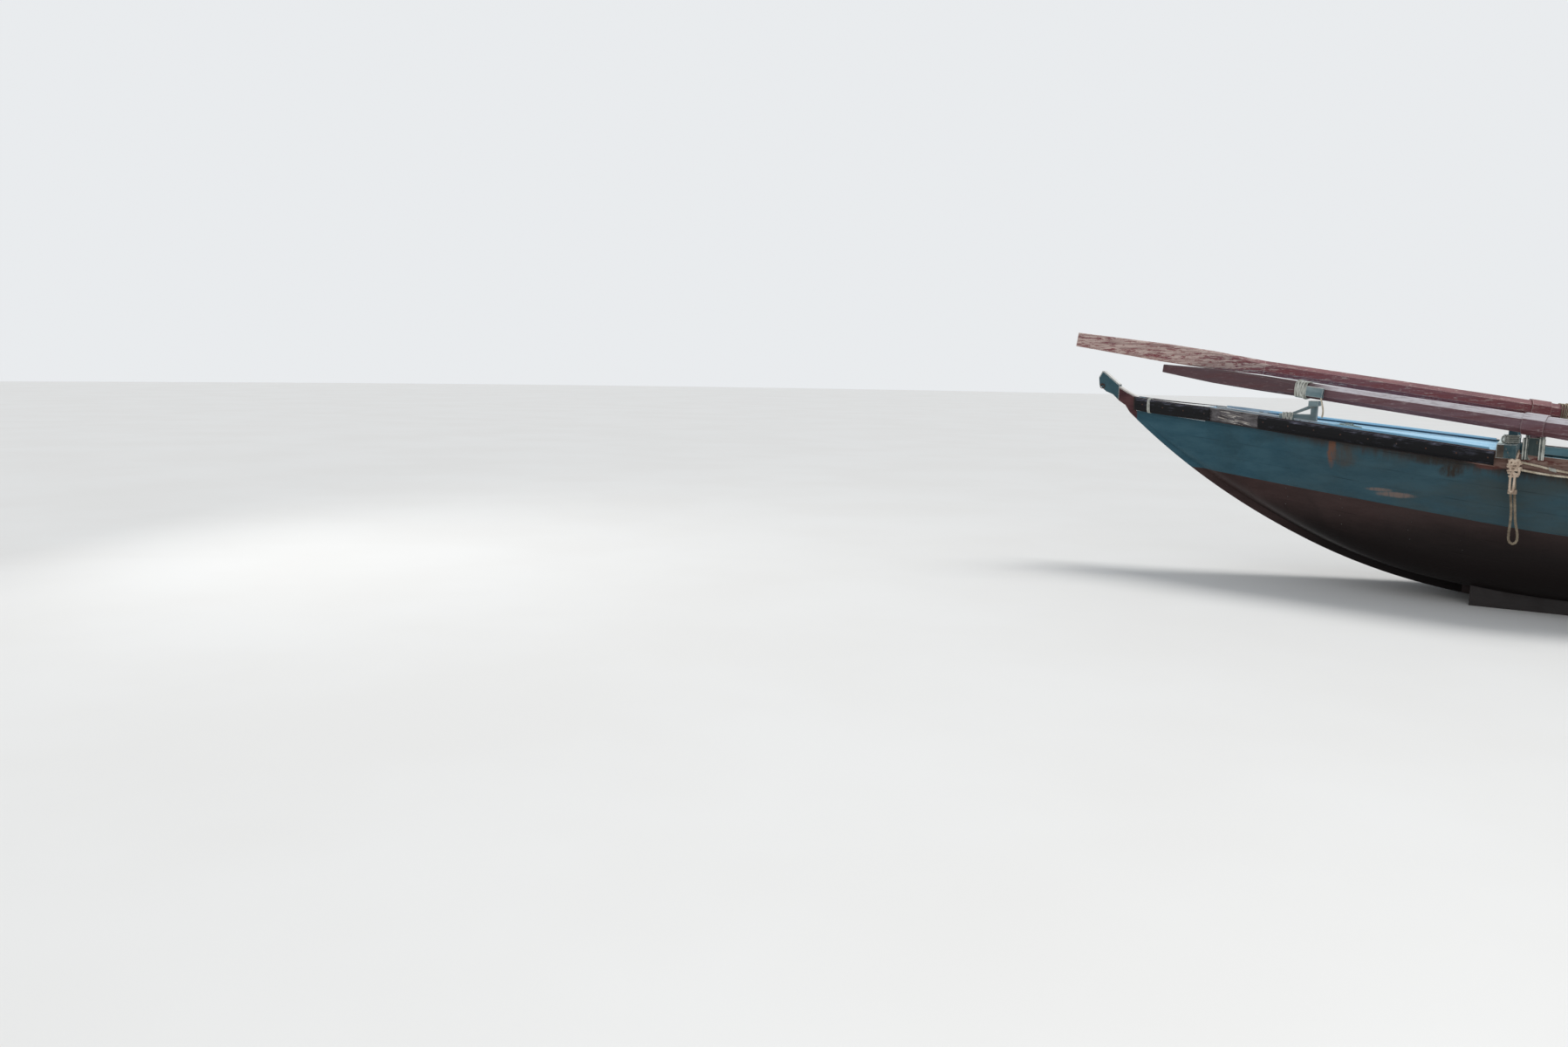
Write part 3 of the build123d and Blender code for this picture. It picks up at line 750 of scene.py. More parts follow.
@dataclass(frozen=True)
class SplitPaint:
    """Two finishes on one piece, one on each side of a level or a cross-section."""

    name: str
    above: "BrushedPaint | BareTimber"
    below: "BrushedPaint | BareTimber"
    axis: Axis
    level: float
    blend: float = 0.01
    board: float = 0.0
    seam: Colour = (0.01, 0.01, 0.01, 1.0)

    def material(self) -> bpy.types.Material:
        """The finished material.

        Returns:
            The material.
        """
        shader = Shader(self.name)
        place = shader.mapped()
        self.above.coats(shader)
        first = shader.colour
        self.below.coats(shader)
        wander = shader.noise(shader.mapped((5, 5, 5)), 3.0, 5)
        value = shader.moved(shader.axis(place, self.axis), wander, self.blend * 2)
        start = self.level + self.blend * 0.5
        shader.lay(shader.fade(value, start, start + self.blend), first)
        if self.board > 0:
            wavy = shader.moved(shader.axis(place, Axis.UP), wander, 0.004)
            near = shader.calc(Calc.PINGPONG, wavy, self.board / 2)
            shader.lay(shader.board_tone(wavy, self.board), self.above.dirt, 0.3)
            line = shader.fade(near, 0.0045, 0.0015)
            shader.lay(line, self.seam, 0.7)
            shader.raise_by(line, -1.4)
        return shader.finish(0.6, specular=0.15)


@dataclass(frozen=True)
class EdgePaint:
    """Toe rail: worn pale paint near the bow, deck paint abaft it, with a band of painted shade along its
    foot at the deck.
    """

    name: str
    fore: BrushedPaint
    after: BrushedPaint
    change: float
    # Colour of the painted shade along the foot, and how high it reaches above the deck.
    seam: Colour
    seam_height: float = 0.009

    def material(self) -> bpy.types.Material:
        """The finished material.

        Returns:
            The material.
        """
        shader = Shader(self.name)
        self.fore.coats(shader)
        first = shader.colour
        self.after.coats(shader)
        place = shader.mapped()
        length, height = shader.axis(place, Axis.ALONG), shader.axis(place, Axis.UP)
        # Painted shade: a dark band along the foot, where the rail meets the deck.
        above_deck = shader.calc(Calc.SUBTRACT, shader.moved(height, length, -DECK_FALL), deck_z(TIP_X))
        shader.lay(shader.fade(above_deck, self.seam_height + 0.005, self.seam_height), self.seam)
        wander = shader.noise(shader.mapped((5, 5, 5)), 3.0, 5)
        ahead = shader.moved(length, wander, 0.24)
        shader.lay(shader.fade(ahead, self.change + 0.06, self.change + 0.18), first)
        return shader.finish(0.55, specular=0.3)


@dataclass(frozen=True)
class OarPaint:
    """Old dusty oar paint, flaking in fine streaks, more and more towards the blade's tip."""

    name: str
    paint: Colour
    aged: Colour
    peeled: Colour
    shadow: Colour
    turn: Point
    peel_from: float
    peel_to: float
    # A pale band of painted highlight along the oar's top, ending at a given X, with painted shade on the oar
    # forward of it.
    band: float = 0.0
    band_colour: Colour = (0.5, 0.5, 0.5, 1.0)
    band_to: float = 9.0
    dim: Colour = (0.1, 0.1, 0.1, 1.0)

    def material(self) -> bpy.types.Material:
        """The finished material.

        Returns:
            The material.
        """
        shader = Shader(self.name)
        along = shader.mapped((1.6, 14, 14), self.turn)
        length = shader.axis(shader.mapped(), Axis.ALONG)
        shader.colour = self.paint
        tone = shader.noise(along, 1.5, 7, 0.62)
        shader.lay(shader.fade(tone, 0.35, 0.66), self.aged)
        scuff = shader.noise(along, 7, 6, 0.7)
        shader.lay(shader.fade(scuff, 0.44, 0.7, 0.0, 0.5), self.aged)
        streak = shader.noise(shader.mapped((7, 52, 52), self.turn), 1.6, 7, 0.7)
        shader.lay(shader.fade(streak, 0.56, 0.7, 0.0, 0.6), self.peeled)
        shader.lay(shader.fade(streak, 0.42, 0.3, 0.0, 0.5), self.shadow)
        self.peel(shader, along, length)
        worn = shader.moved(shader.edges(0.007), scuff, 0.7)
        shader.lay(shader.fade(worn, 0.72, 1.1, 0.0, 0.75), self.peeled)
        # Painted highlight along the top, and painted shade forward of it.
        if self.band > 0:
            rubbed = shader.fade(streak, 0.34, 0.56, 0.55, 1.0)
            self.bleach(shader, length, scuff, rubbed, shader.fade(tone, 0.3, 0.6, 0.25, 0.55))
        shader.raise_by(scuff, 0.5)
        return shader.finish(shader.fade(tone, 0.3, 0.7, 0.48, 0.7), specular=0.35)

    def peel(self, shader: Shader, along: Socket, length: Socket) -> None:
        """Flakes the paint off down to streaky wood.

        Args:
            shader: The material.
            along: Coordinates stretched along the oar.
            length: Distance forward.
        """
        flake = shader.noise(shader.mapped((4, 24, 24), self.turn), 2.2, 10, 0.72, 0.2)
        patch = shader.noise(along, 0.9, 4, 0.6)
        more = shader.fade(length, self.peel_from, self.peel_to, 0.0, 0.2)
        drive = shader.calc(Calc.ADD, shader.moved(flake, patch, 0.35), more)
        bare = shader.fade(drive, 0.79, 0.835)
        shader.lay(bare, self.peeled, 0.9)
        grain = shader.noise(shader.mapped((2, 46, 46), self.turn), 2.4, 6, 0.65)
        shader.lay(shader.both(bare, shader.fade(grain, 0.42, 0.62, 0.0, 0.6)), self.shadow)
        fleck = shader.noise(shader.mapped((7, 34, 34), self.turn), 2.8, 8, 0.74)
        shader.lay(shader.both(bare, shader.fade(fleck, 0.53, 0.58, 0.0, 0.85)), self.paint)
        shader.lay(shader.fade(fleck, 0.38, 0.33, 0.0, 0.7), self.peeled)
        shader.raise_by(bare, -0.5)
        shader.raise_by(grain, 0.3)

    def bleach(self, shader: Shader, length: Socket, scuff: Socket, rubbed: Socket, dusk: Socket) -> None:
        """Paints a highlight along the oar's top, and paints shade on the oar forward of that band.

        Args:
            shader: The material.
            length: Distance forward.
            scuff: Noise that makes the borders ragged.
            rubbed: How much of the painted highlight is left.
            dusk: Least share of painted shade on the part forward of the band.
        """
        ragged = shader.moved(shader.up(), scuff, 0.5)
        top = shader.both(shader.fade(ragged, 0.55, 0.78, 0.0, self.band), rubbed)
        forward = shader.fade(shader.moved(length, scuff, 0.2), self.band_to, self.band_to + 0.2)
        forward_shading = shader.calc(Calc.MAXIMUM, shader.both(top, 0.85), dusk)
        shader.lay(shader.both(forward, forward_shading), self.dim)
        behind = shader.calc(Calc.SUBTRACT, 1.0, forward)
        shader.lay(shader.both(behind, top), self.band_colour)


@dataclass(frozen=True)
class Rubber:
    """Black rubber strip, with grey scuffs in patches and a painted grey highlight along its crown."""

    name: str
    black: Colour
    # Grey of the scuffs, and of the painted highlight along the crown.
    scuffed: Colour

    def material(self) -> bpy.types.Material:
        """The finished material.

        Returns:
            The material.
        """
        shader = Shader(self.name)
        shader.colour = self.black
        along = shader.mapped((2.4, 16, 16))
        rub = shader.noise(along, 2.2, 8, 0.68)
        shader.lay(shader.fade(rub, 0.56, 0.76, 0.0, 0.3), self.scuffed)
        # Painted highlight: grey along the crown, broken up by the scuff noise.
        crown = shader.moved(shader.up(), rub, 1.5)
        shader.lay(shader.fade(crown, 1.0, 1.55, 0.0, 0.85), self.scuffed)
        shader.raise_by(rub, 1.2)
        shader.raise_by(shader.noise(shader.mapped(), 160, 3), 0.25)
        return shader.finish(shader.fade(rub, 0.35, 0.65, 0.34, 0.6), specular=0.16)


@dataclass(frozen=True)
class RopeFibre:
    """Laid rope of soft, dirty fibre."""

    name: str
    fibre: Colour
    sunlit: Colour
    grime: Colour

    def material(self) -> bpy.types.Material:
        """The finished material.

        Returns:
            The material.
        """
        shader = Shader(self.name)
        shader.colour = self.fibre
        fuzz = shader.noise(shader.mapped(), 240, 6, 0.7)
        blotch = shader.noise(shader.mapped(), 16, 6, 0.65)
        shader.lay(shader.fade(blotch, 0.38, 0.66), self.sunlit)
        shader.lay(shader.fade(blotch, 0.42, 0.3, 0.0, 0.7), self.grime)
        shader.lay(shader.fade(fuzz, 0.5, 0.72, 0.0, 0.35), self.sunlit)
        shader.raise_by(fuzz, 0.5)
        return shader.finish(shader.fade(fuzz, 0.3, 0.7, 0.8, 0.95), specular=0.2)


@dataclass(frozen=True)
class RustyIron:
    """Iron with dark rust and a little bare metal."""

    name: str
    rust: Colour
    scale: Colour
    worn: Colour

    def material(self) -> bpy.types.Material:
        """The finished material.

        Returns:
            The material.
        """
        shader = Shader(self.name)
        shader.colour = self.rust
        crust = shader.noise(shader.mapped(), 60, 8, 0.7)
        shader.lay(shader.fade(crust, 0.4, 0.62), self.scale)
        shader.lay(shader.fade(crust, 0.62, 0.72, 0.0, 0.6), self.worn)
        shader.raise_by(crust, 0.9)
        shader.surface.inputs["Metallic"].default_value = 0.35
        return shader.finish(shader.fade(crust, 0.35, 0.7, 0.85, 0.5), specular=0.5)


TEAL = BrushedPaint(
    "teal_paint", tint(44, 78, 91), tint(57, 90, 102), under=tint(98, 94, 86), dirt=tint(36, 56, 62),
    chips=0.08, soiling=0.45,
)
# Where crown or crest is set below, the paint goes pale on top: worn paint, and painted highlight.
HORN_TEAL = BrushedPaint(
    "horn_paint", tint(33, 68, 78), tint(48, 84, 93), under=tint(120, 116, 106), dirt=tint(24, 42, 48),
    chips=0.15, soiling=0.5, grain=(5.0, 5.0, 5.0), worn=tint(212, 210, 204), crown=1.7, crest=0.02,
)
GREY_TEAL = BrushedPaint(
    "grey_teal_paint", tint(84, 108, 114), tint(128, 144, 147), under=tint(164, 158, 146),
    dirt=tint(52, 58, 57), chips=0.5, soiling=0.5, worn=tint(198, 200, 194), crown=0.55,
)
BEAM_TEAL = BrushedPaint(
    "beam_paint", tint(42, 64, 70), tint(68, 88, 92), under=tint(110, 108, 100), dirt=tint(30, 38, 38),
    chips=0.45, soiling=0.6, grain=(9.0, 1.6, 9.0), worn=tint(154, 160, 156), crown=0.1,
)
BEAM_BROWN = BrushedPaint(
    "beam_brown_paint", tint(58, 50, 44), tint(84, 76, 68), under=tint(110, 104, 94), dirt=tint(30, 28, 26),
    chips=0.45, soiling=0.6, grain=(9.0, 1.6, 9.0), worn=tint(196, 206, 202), crown=1.2,
)
PAD_PAINT = BrushedPaint(
    "pad_paint", tint(38, 50, 50), tint(62, 72, 70), under=tint(104, 92, 78), dirt=tint(26, 28, 26),
    chips=0.4, soiling=0.6, grain=(9.0, 9.0, 1.6), worn=tint(132, 130, 120), crown=0.2,
)
POST_TEAL = BrushedPaint(
    "post_paint", tint(42, 82, 96), tint(72, 112, 124), under=tint(160, 156, 146), dirt=tint(30, 48, 54),
    chips=0.4, soiling=0.5, grain=(9.0, 9.0, 1.4), worn=tint(204, 206, 200), crown=0.6,
)
INSIDE = BrushedPaint(
    "inside_paint", tint(74, 118, 130), tint(108, 148, 158), under=tint(134, 126, 110), dirt=tint(62, 70, 66),
    chips=0.25, soiling=0.5, worn=tint(156, 150, 138),
)
BENCH_PAINT = replace(INSIDE, name="bench_paint", chips=0.5, grain=(9.0, 1.2, 9.0), crown=0.3)
DECK = BrushedPaint(
    "deck_paint", tint(140, 196, 226), tint(166, 213, 238), under=tint(146, 158, 160),
    dirt=tint(92, 134, 160), chips=0.04, soiling=0.22, grain=(0.9, 7.0, 7.0), roughness=0.45,
)
# A lighter copy of the deck paint: painted light on the starboard toe rail's inner face, which faces away
# from the key light.
LIT_DECK = BrushedPaint(
    "deck_edge_paint", tint(168, 216, 242), tint(190, 228, 246), under=tint(170, 182, 184),
    dirt=tint(130, 170, 194), chips=0.04, soiling=0.15, grain=(0.9, 7.0, 7.0), roughness=0.45,
)
EDGE_WHITE = BrushedPaint(
    "edge_paint", tint(150, 166, 178), tint(190, 200, 208), under=tint(128, 116, 104), dirt=tint(84, 98, 110),
    chips=0.55, soiling=0.45, worn=tint(222, 222, 218), crown=0.4,
)
TRANSOM_TEAL = replace(
    TEAL, name="transom_teal", chips=0.3, soiling=0.6, grain=(9.0, 1.2, 9.0), worn=tint(176, 174, 166),
    crown=0.8,
)
BOTTOM = BrushedPaint(
    "bottom_paint", tint(54, 38, 36), tint(65, 49, 47), under=tint(44, 30, 27), dirt=tint(33, 25, 24),
    chips=0.3, soiling=0.5, grain=(1.0, 6.0, 8.0),
)
# A darker copy of the bottom paint for the bilge runners: painted shade under the hull.
RUNNER_SHADE_PAINT = replace(BOTTOM, name="runner_paint", coat=tint(24, 18, 17), bleached=tint(34, 26, 25))
MAROON = BrushedPaint(
    "stem_paint", tint(66, 38, 42), tint(94, 62, 62), under=tint(128, 112, 100), dirt=tint(36, 28, 30),
    chips=0.35, soiling=0.5, worn=tint(204, 200, 194), crown=1.7, crest=0.02,
)
RAIL_WOOD = BareTimber(
    "rail_wood", tint(84, 56, 47), tint(128, 106, 96), crack=tint(40, 27, 24), silvering=0.4,
    ghost=tint(80, 42, 37),
)
SPLINTERED = BareTimber(
    "splintered_wood", tint(58, 53, 54), tint(112, 108, 109), crack=tint(20, 18, 20), silvering=0.4,
    ghost=tint(44, 40, 44),
)
SLIVER_WOOD = BareTimber(
    "sliver_wood", tint(150, 142, 134), tint(196, 190, 182), crack=tint(92, 82, 74), silvering=0.8
)
FLOOR_WOOD = BareTimber(
    "floor_wood", tint(116, 104, 88), tint(150, 142, 126), crack=tint(58, 50, 42), silvering=0.6,
    ghost=tint(86, 116, 118),
)
# Black rubber, and the grey of its scuffs and its painted highlight.
STRIP_RUBBER = Rubber("strip_rubber", tint(12, 12, 15), tint(122, 122, 138))
CREAM = RopeFibre("cream_rope", tint(144, 128, 108), tint(186, 171, 149), tint(88, 76, 61))
# A lighter copy of the rope for the upper and lower strands and the lanyard: painted light.
LIT_ROPE = RopeFibre("bright_rope", tint(170, 156, 135), tint(210, 199, 180), tint(104, 92, 76))
# A darker copy of the rope for the hanging bight: painted shade.
SHADED_ROPE = RopeFibre("dull_rope", tint(110, 98, 83), tint(146, 133, 114), tint(66, 56, 45))
# A lighter, pinker copy of the rope for the knot, binding, loop and hitch: the pink is the rope's own tint,
# the lightness is painted light.
KNOT_ROPE = RopeFibre("knot_rope", tint(170, 148, 129), tint(214, 196, 176), tint(100, 84, 70))
PALE_ROPE = RopeFibre("pale_rope", tint(168, 168, 158), tint(210, 211, 203), tint(92, 94, 88))
DECK_LINE = RopeFibre("deck_line", tint(122, 132, 124), tint(184, 192, 182), tint(36, 42, 40))
DARK_ROPE = RopeFibre("dark_line", tint(72, 80, 80), tint(128, 132, 124), tint(40, 44, 44))
IRON = RustyIron("rusty_iron", tint(86, 52, 36), tint(54, 42, 38), tint(110, 104, 98))


def polished(mesh_object: bpy.types.Object, angle: float = 40) -> None:
    """Shades a mesh smooth, with edges kept sharp above an angle.

    Args:
        mesh_object: The piece.
        angle: Least angle, in degrees, that stays sharp.
    """
    mesh = mesh_object.data
    for face in mesh.polygons:
        face.use_smooth = True
    mesh.set_sharp_from_angle(angle=math.radians(angle))


def placed(
    name: str, form: bmesh.types.BMesh, body: Body, finish: bpy.types.Material
) -> bpy.types.Object:
    """Makes an object of a bmesh, dresses it and lets it ride on a body.

    Args:
        name: The piece's name.
        form: Its mesh; it is freed.
        body: The body that it rides on.
        finish: Its material.

    Returns:
        The piece.
    """
    bmesh.ops.recalc_face_normals(form, faces=form.faces)
    mesh = bpy.data.meshes.new(name)
    form.to_mesh(mesh)
    form.free()
    piece = bpy.data.objects.new(name, mesh)
    bpy.context.scene.collection.objects.link(piece)
    mesh.materials.append(finish)
    polished(piece)
    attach(piece, body.value)
    return piece


def smooth_route(points: list[Point], closed: bool = False) -> list[Vector]:
    """Points along a smooth NURBS line through a given route.

    Args:
        points: The route.
        closed: Whether it is a ring.

    Returns:
        Points read from the curve.
    """
    curve = nurbs_line("route", points, closed)
    holder = bpy.data.objects.new("route", curve)
    line = bpy.data.meshes.new_from_object(holder)
    found = [vertex.co.copy() for vertex in line.vertices]
    if closed:
        found.append(found[0].copy())
    bpy.data.objects.remove(holder)
    bpy.data.meshes.remove(line)
    bpy.data.curves.remove(curve)
    return found


def nurbs_line(name: str, points: list[Point], closed: bool = False) -> bpy.types.Curve:
    """A NURBS curve of order 3 on a route.

    Args:
        name: The curve's name.
        points: Its control points.
        closed: Whether it is a ring.

    Returns:
        The curve.
    """
    curve = bpy.data.curves.new(name, "CURVE")
    curve.dimensions = "3D"
    spline = curve.splines.new("NURBS")
    spline.points.add(len(points) - 1)
    for control, point in zip(spline.points, points):
        control.co = (*point, 1.0)
    spline.use_cyclic_u = closed
    spline.order_u = 3
    spline.use_endpoint_u = not closed
    spline.resolution_u = 12
    curve.resolution_u = 12
    return curve


def even(line: list[Vector], step: float) -> list[Vector]:
    """A line's points, set evenly along it.

    Args:
        line: The line.
        step: Distance between points.

    Returns:
        The new points.
    """
    lengths = [0.0]
    for first, second in zip(line, line[1:]):
        lengths.append(lengths[-1] + (second - first).length)
    count = max(2, round(lengths[-1] / step))
    found, index = [], 0
    for number in range(count + 1):
        target = lengths[-1] * number / count
        while index < len(lengths) - 2 and lengths[index + 1] < target:
            index += 1
        span = lengths[index + 1] - lengths[index]
        share = (target - lengths[index]) / span if span > 1e-9 else 0.0
        found.append(line[index].lerp(line[index + 1], min(1.0, share)))
    return found


def run_length(line: list[Vector]) -> float:
    """Length of a line through its points."""
    return sum((second - first).length for first, second in zip(line, line[1:]))


@dataclass
class LaidRope:
    """Three strands laid round each other along a line."""

    name: str
    diameter: float
    body: Body
    finish: bpy.types.Material
    slot: str = "cream_rope"
    lay: float = 3.2
    sides: int = 2

    def sections(self, middle: list[Vector], closed: bool) -> list[tuple[Vector, Vector, Vector]]:
        """Untwisted cross-sections along the rope's middle.

        Args:
            middle: Points along it.
            closed: Whether it is a ring.

        Returns:
            Place, side and up of each section.
        """
        found: list[tuple[Vector, Vector, Vector]] = []
        last = len(middle) - 1
        side = Vector((0.31, 0.17, 1)).cross(middle[1] - middle[0]).normalized()
        for index, point in enumerate(middle):
            if closed:
                ahead = middle[(index + 1) % len(middle)] - middle[index - 1]
            else:
                ahead = middle[min(index + 1, last)] - middle[max(index - 1, 0)]
            ahead.normalize()
            side = (side - ahead * side.dot(ahead)).normalized()
            found.append((point, side.copy(), ahead.cross(side)))
        return found

    def strands(self, line: list[Vector]) -> bpy.types.Mesh:
        """Meshes the three strands.

        Args:
            line: Points along the rope's middle; a ring ends where it starts.

        Returns:
            The mesh.
        """
        radius = self.diameter / 2
        strand = radius * 0.54
        closed = (line[0] - line[-1]).length < 1e-6
        middle = even(line, self.diameter * 0.42)
        turns = run_length(line) / (self.lay * self.diameter)
        if closed:
            middle.pop()
            turns = float(round(turns))
        sections = self.sections(middle, closed)
        curve = bpy.data.curves.new(self.name, "CURVE")
        curve.dimensions = "3D"
        curve.bevel_depth = strand
        curve.bevel_resolution = self.sides
        curve.use_fill_caps = True
        for number in range(3):
            spline = curve.splines.new("POLY")
            spline.points.add(len(sections) - 1)
            spline.use_cyclic_u = closed
            for index, (point, across, up) in enumerate(sections):
                angle = 2 * math.pi * (number / 3 + turns * index / len(sections))
                offset = across * math.cos(angle) + up * math.sin(angle)
                spline.points[index].co = (*(point + offset * (radius - strand)), 1.0)
        holder = bpy.data.objects.new(self.name, curve)
        mesh = bpy.data.meshes.new_from_object(holder)
        bpy.data.objects.remove(holder)
        bpy.data.curves.remove(curve)
        return mesh

    def build(self, lines: list[list[Vector]]) -> bpy.types.Object:
        """Makes one piece of one or more lengths of rope.

        Args:
            lines: The middle line of each length.

        Returns:
            The piece.
        """
        form = bmesh.new()
        for line in lines:
            mesh = self.strands(line)
            form.from_mesh(mesh)
            bpy.data.meshes.remove(mesh)
        piece = placed(self.name, form, self.body, self.finish)
        polished(piece, 80)
        return piece


def ring(
    centre: Point, across: Vector, up: Vector, half_across: float, half_up: float, square: float = 0.5
) -> list[Vector]:
    """Smooth ring through the corners of a blunt-cornered loop.

    Args:
        centre: Its middle.
        across: Direction of its width.
        up: Direction of its height.
        half_across: Half its width.
        half_up: Half its height.
        square: How far each side runs before it turns, 0.4 for an oval to 0.9 for a square.

    Returns:
        Points along the ring.
    """
    corners = [
        (1, -square), (1, square), (square, 1), (-square, 1),
        (-1, square), (-1, -square), (-square, -1), (square, -1),
    ]
    middle, wide, tall = Vector(centre), across.normalized() * half_across, up.normalized() * half_up
    return smooth_route([tuple(middle + wide * x + tall * y) for x, y in corners], closed=True)


@dataclass
class OarFrame:
    """Directions of one oar as it is stowed."""

    pivot: Vector
    tip: Vector
    grain_angle: float

    @property
    def along(self) -> Vector:
        """Direction from the pin to the blade's tip."""
        return (self.tip - self.pivot).normalized()

    @property
    def lateral(self) -> Vector:
        """Level direction across the oar."""
        return Vector((-self.along.y, self.along.x, 0)).normalized()

    @property
    def up(self) -> Vector:
        """Direction square to the oar, upwards."""
        return self.along.cross(self.lateral)

    def turn(self, distance: float, half_wide: float, half_deep: float, lean: float = 0.0) -> list[Vector]:
        """One turn of rope round the oar.

        Args:
            distance: Distance from the pin along the oar.
            half_wide: Half the turn's width.
            half_deep: Half its depth.
            lean: How far its top lies ahead of its bottom.

        Returns:
            Points along the turn.
        """
        up = self.up * half_deep + self.along * lean
        centre = self.pivot + self.along * distance
        return ring(tuple(centre), self.lateral, up, half_wide, up.length, 0.62)


OAR_FRAMES = {
    Side.PORT: OarFrame(
        Vector(at(2.828, 0.690, 1.156)), Vector(at(0.474, 0.013, 1.448)), grain_angle=math.radians(16.05)
    ),
    Side.STARBOARD: OarFrame(
        Vector(at(2.828, -0.690, 1.213)), Vector(at(-0.091, 0.300, 1.647)), grain_angle=math.radians(-18.73)
    ),
}


@dataclass
class Studio:
    """The photograph's view, a plain floor, the world and the lamps."""

    place: Point = (0.236, 9.125, 1.45)
    focal_length: float = 28
    film_width: float = 36
    yaw: float = math.radians(31.75)
    pitch: float = math.radians(7.573)
    roll: float = math.radians(1.0)
    floor_radius: float = 60
    sun_way: Point = (0.30, 0.42, -0.86)
    sun_power: float = 1.9
    sun_spread: float = math.radians(24)
    daylight: float = 0.5
    backdrop: float = 0.95

    def camera(self) -> None:
        """Sets up the camera where the photograph was taken."""
        lens = bpy.data.cameras.new("photograph_view")
        lens.lens = self.focal_length
        lens.sensor_width = self.film_width
        lens.clip_start = 0.05
        camera = bpy.data.objects.new("photograph_view", lens)
        bpy.context.scene.collection.objects.link(camera)
        camera.location = self.place
        level = math.cos(self.pitch)
        ahead = Vector((math.sin(self.yaw) * level, -math.cos(self.yaw) * level, -math.sin(self.pitch)))
        right = ahead.cross(UPWARD).normalized()
        up = right.cross(ahead)
        tilted_right = right * math.cos(self.roll) + up * math.sin(self.roll)
        tilted_up = up * math.cos(self.roll) - right * math.sin(self.roll)
        camera.rotation_euler = Matrix((tilted_right, tilted_up, -ahead)).transposed().to_euler()
        bpy.context.scene.camera = camera

    def floor(self) -> None:
        """Lays the pale floor."""
        form = bmesh.new()
        bmesh.ops.create_circle(form, cap_ends=True, segments=96, radius=self.floor_radius)
        mesh = bpy.data.meshes.new("floor")
        form.to_mesh(mesh)
        form.free()
        floor = bpy.data.objects.new("floor", mesh)
        bpy.context.scene.collection.objects.link(floor)
        ground = Shader("pale_floor")
        ground.colour = tint(224, 222, 218)
        sheen = ground.noise(ground.mapped(), 0.6, 3)
        ground.lay(ground.fade(sheen, 0.3, 0.7, 0.0, 0.4), tint(230, 229, 226))
        mesh.materials.append(ground.finish(0.9, specular=0.1))

    def world(self) -> None:
        """Sets the daylight, and a paler backdrop that only the camera and clear reflections see."""
        world = bpy.data.worlds.new("studio_world")
        world.use_nodes = True
        nodes, links = world.node_tree.nodes, world.node_tree.links
        lit = nodes["Background"]
        lit.inputs["Color"].default_value = (0.86, 0.92, 1.0, 1.0)
        lit.inputs["Strength"].default_value = self.daylight
        shown = nodes.new("ShaderNodeBackground")
        shown.inputs["Color"].default_value = (0.86, 0.88, 0.90, 1.0)
        shown.inputs["Strength"].default_value = self.backdrop
        path = nodes.new("ShaderNodeLightPath")
        seen = path.outputs["Is Camera Ray"]
        for ray in ("Is Glossy Ray", "Is Transmission Ray"):
            either = nodes.new("ShaderNodeMath")
            either.operation = "MAXIMUM"
            links.new(seen, either.inputs[0])
            links.new(path.outputs[ray], either.inputs[1])
            seen = either.outputs[0]
        choose = nodes.new("ShaderNodeMixShader")
        links.new(seen, choose.inputs[0])
        links.new(lit.outputs[0], choose.inputs[1])
        links.new(shown.outputs[0], choose.inputs[2])
        links.new(choose.outputs[0], nodes["World Output"].inputs["Surface"])
        bpy.context.scene.world = world

    def hung(self, light: bpy.types.Light, place: Point, way: Vector) -> None:
        """Puts a lamp in the scene.

        Args:
            light: The lamp.
            place: Where it stands.
            way: Where it points.
        """
        holder = bpy.data.objects.new(light.name, light)
        bpy.context.scene.collection.objects.link(holder)
        holder.location = place
        holder.rotation_euler = way.to_track_quat("-Z", "Y").to_euler()

    def lamps(self) -> None:
        """Sets up a soft sun and two wide lamps."""
        sun = bpy.data.lights.new("key_light", "SUN")
        sun.angle = self.sun_spread
        sun.energy = self.sun_power
        self.hung(sun, (0, 0, 0), Vector(self.sun_way))
        for name, place, aim, size, power in (
            ("fill_light", (-3.0, 9.0, 4.0), (0.6, 0.0, 0.6), 6.0, 150.0),
            ("bow_light", (8.5, 4.0, 3.5), (1.5, 0.0, 0.8), 4.0, 70.0),
        ):
            lamp = bpy.data.lights.new(name, "AREA")
            lamp.shape = "DISK"
            lamp.size = size
            lamp.energy = power
            self.hung(lamp, place, Vector(aim) - Vector(place))

    def build(self) -> int:
        """Sets up everything.

        Returns:
            How many lamps there are.
        """
        bpy.context.scene.view_settings.view_transform = "Standard"
        self.camera()
        self.floor()
        self.world()
        self.lamps()
        return len(bpy.data.lights)


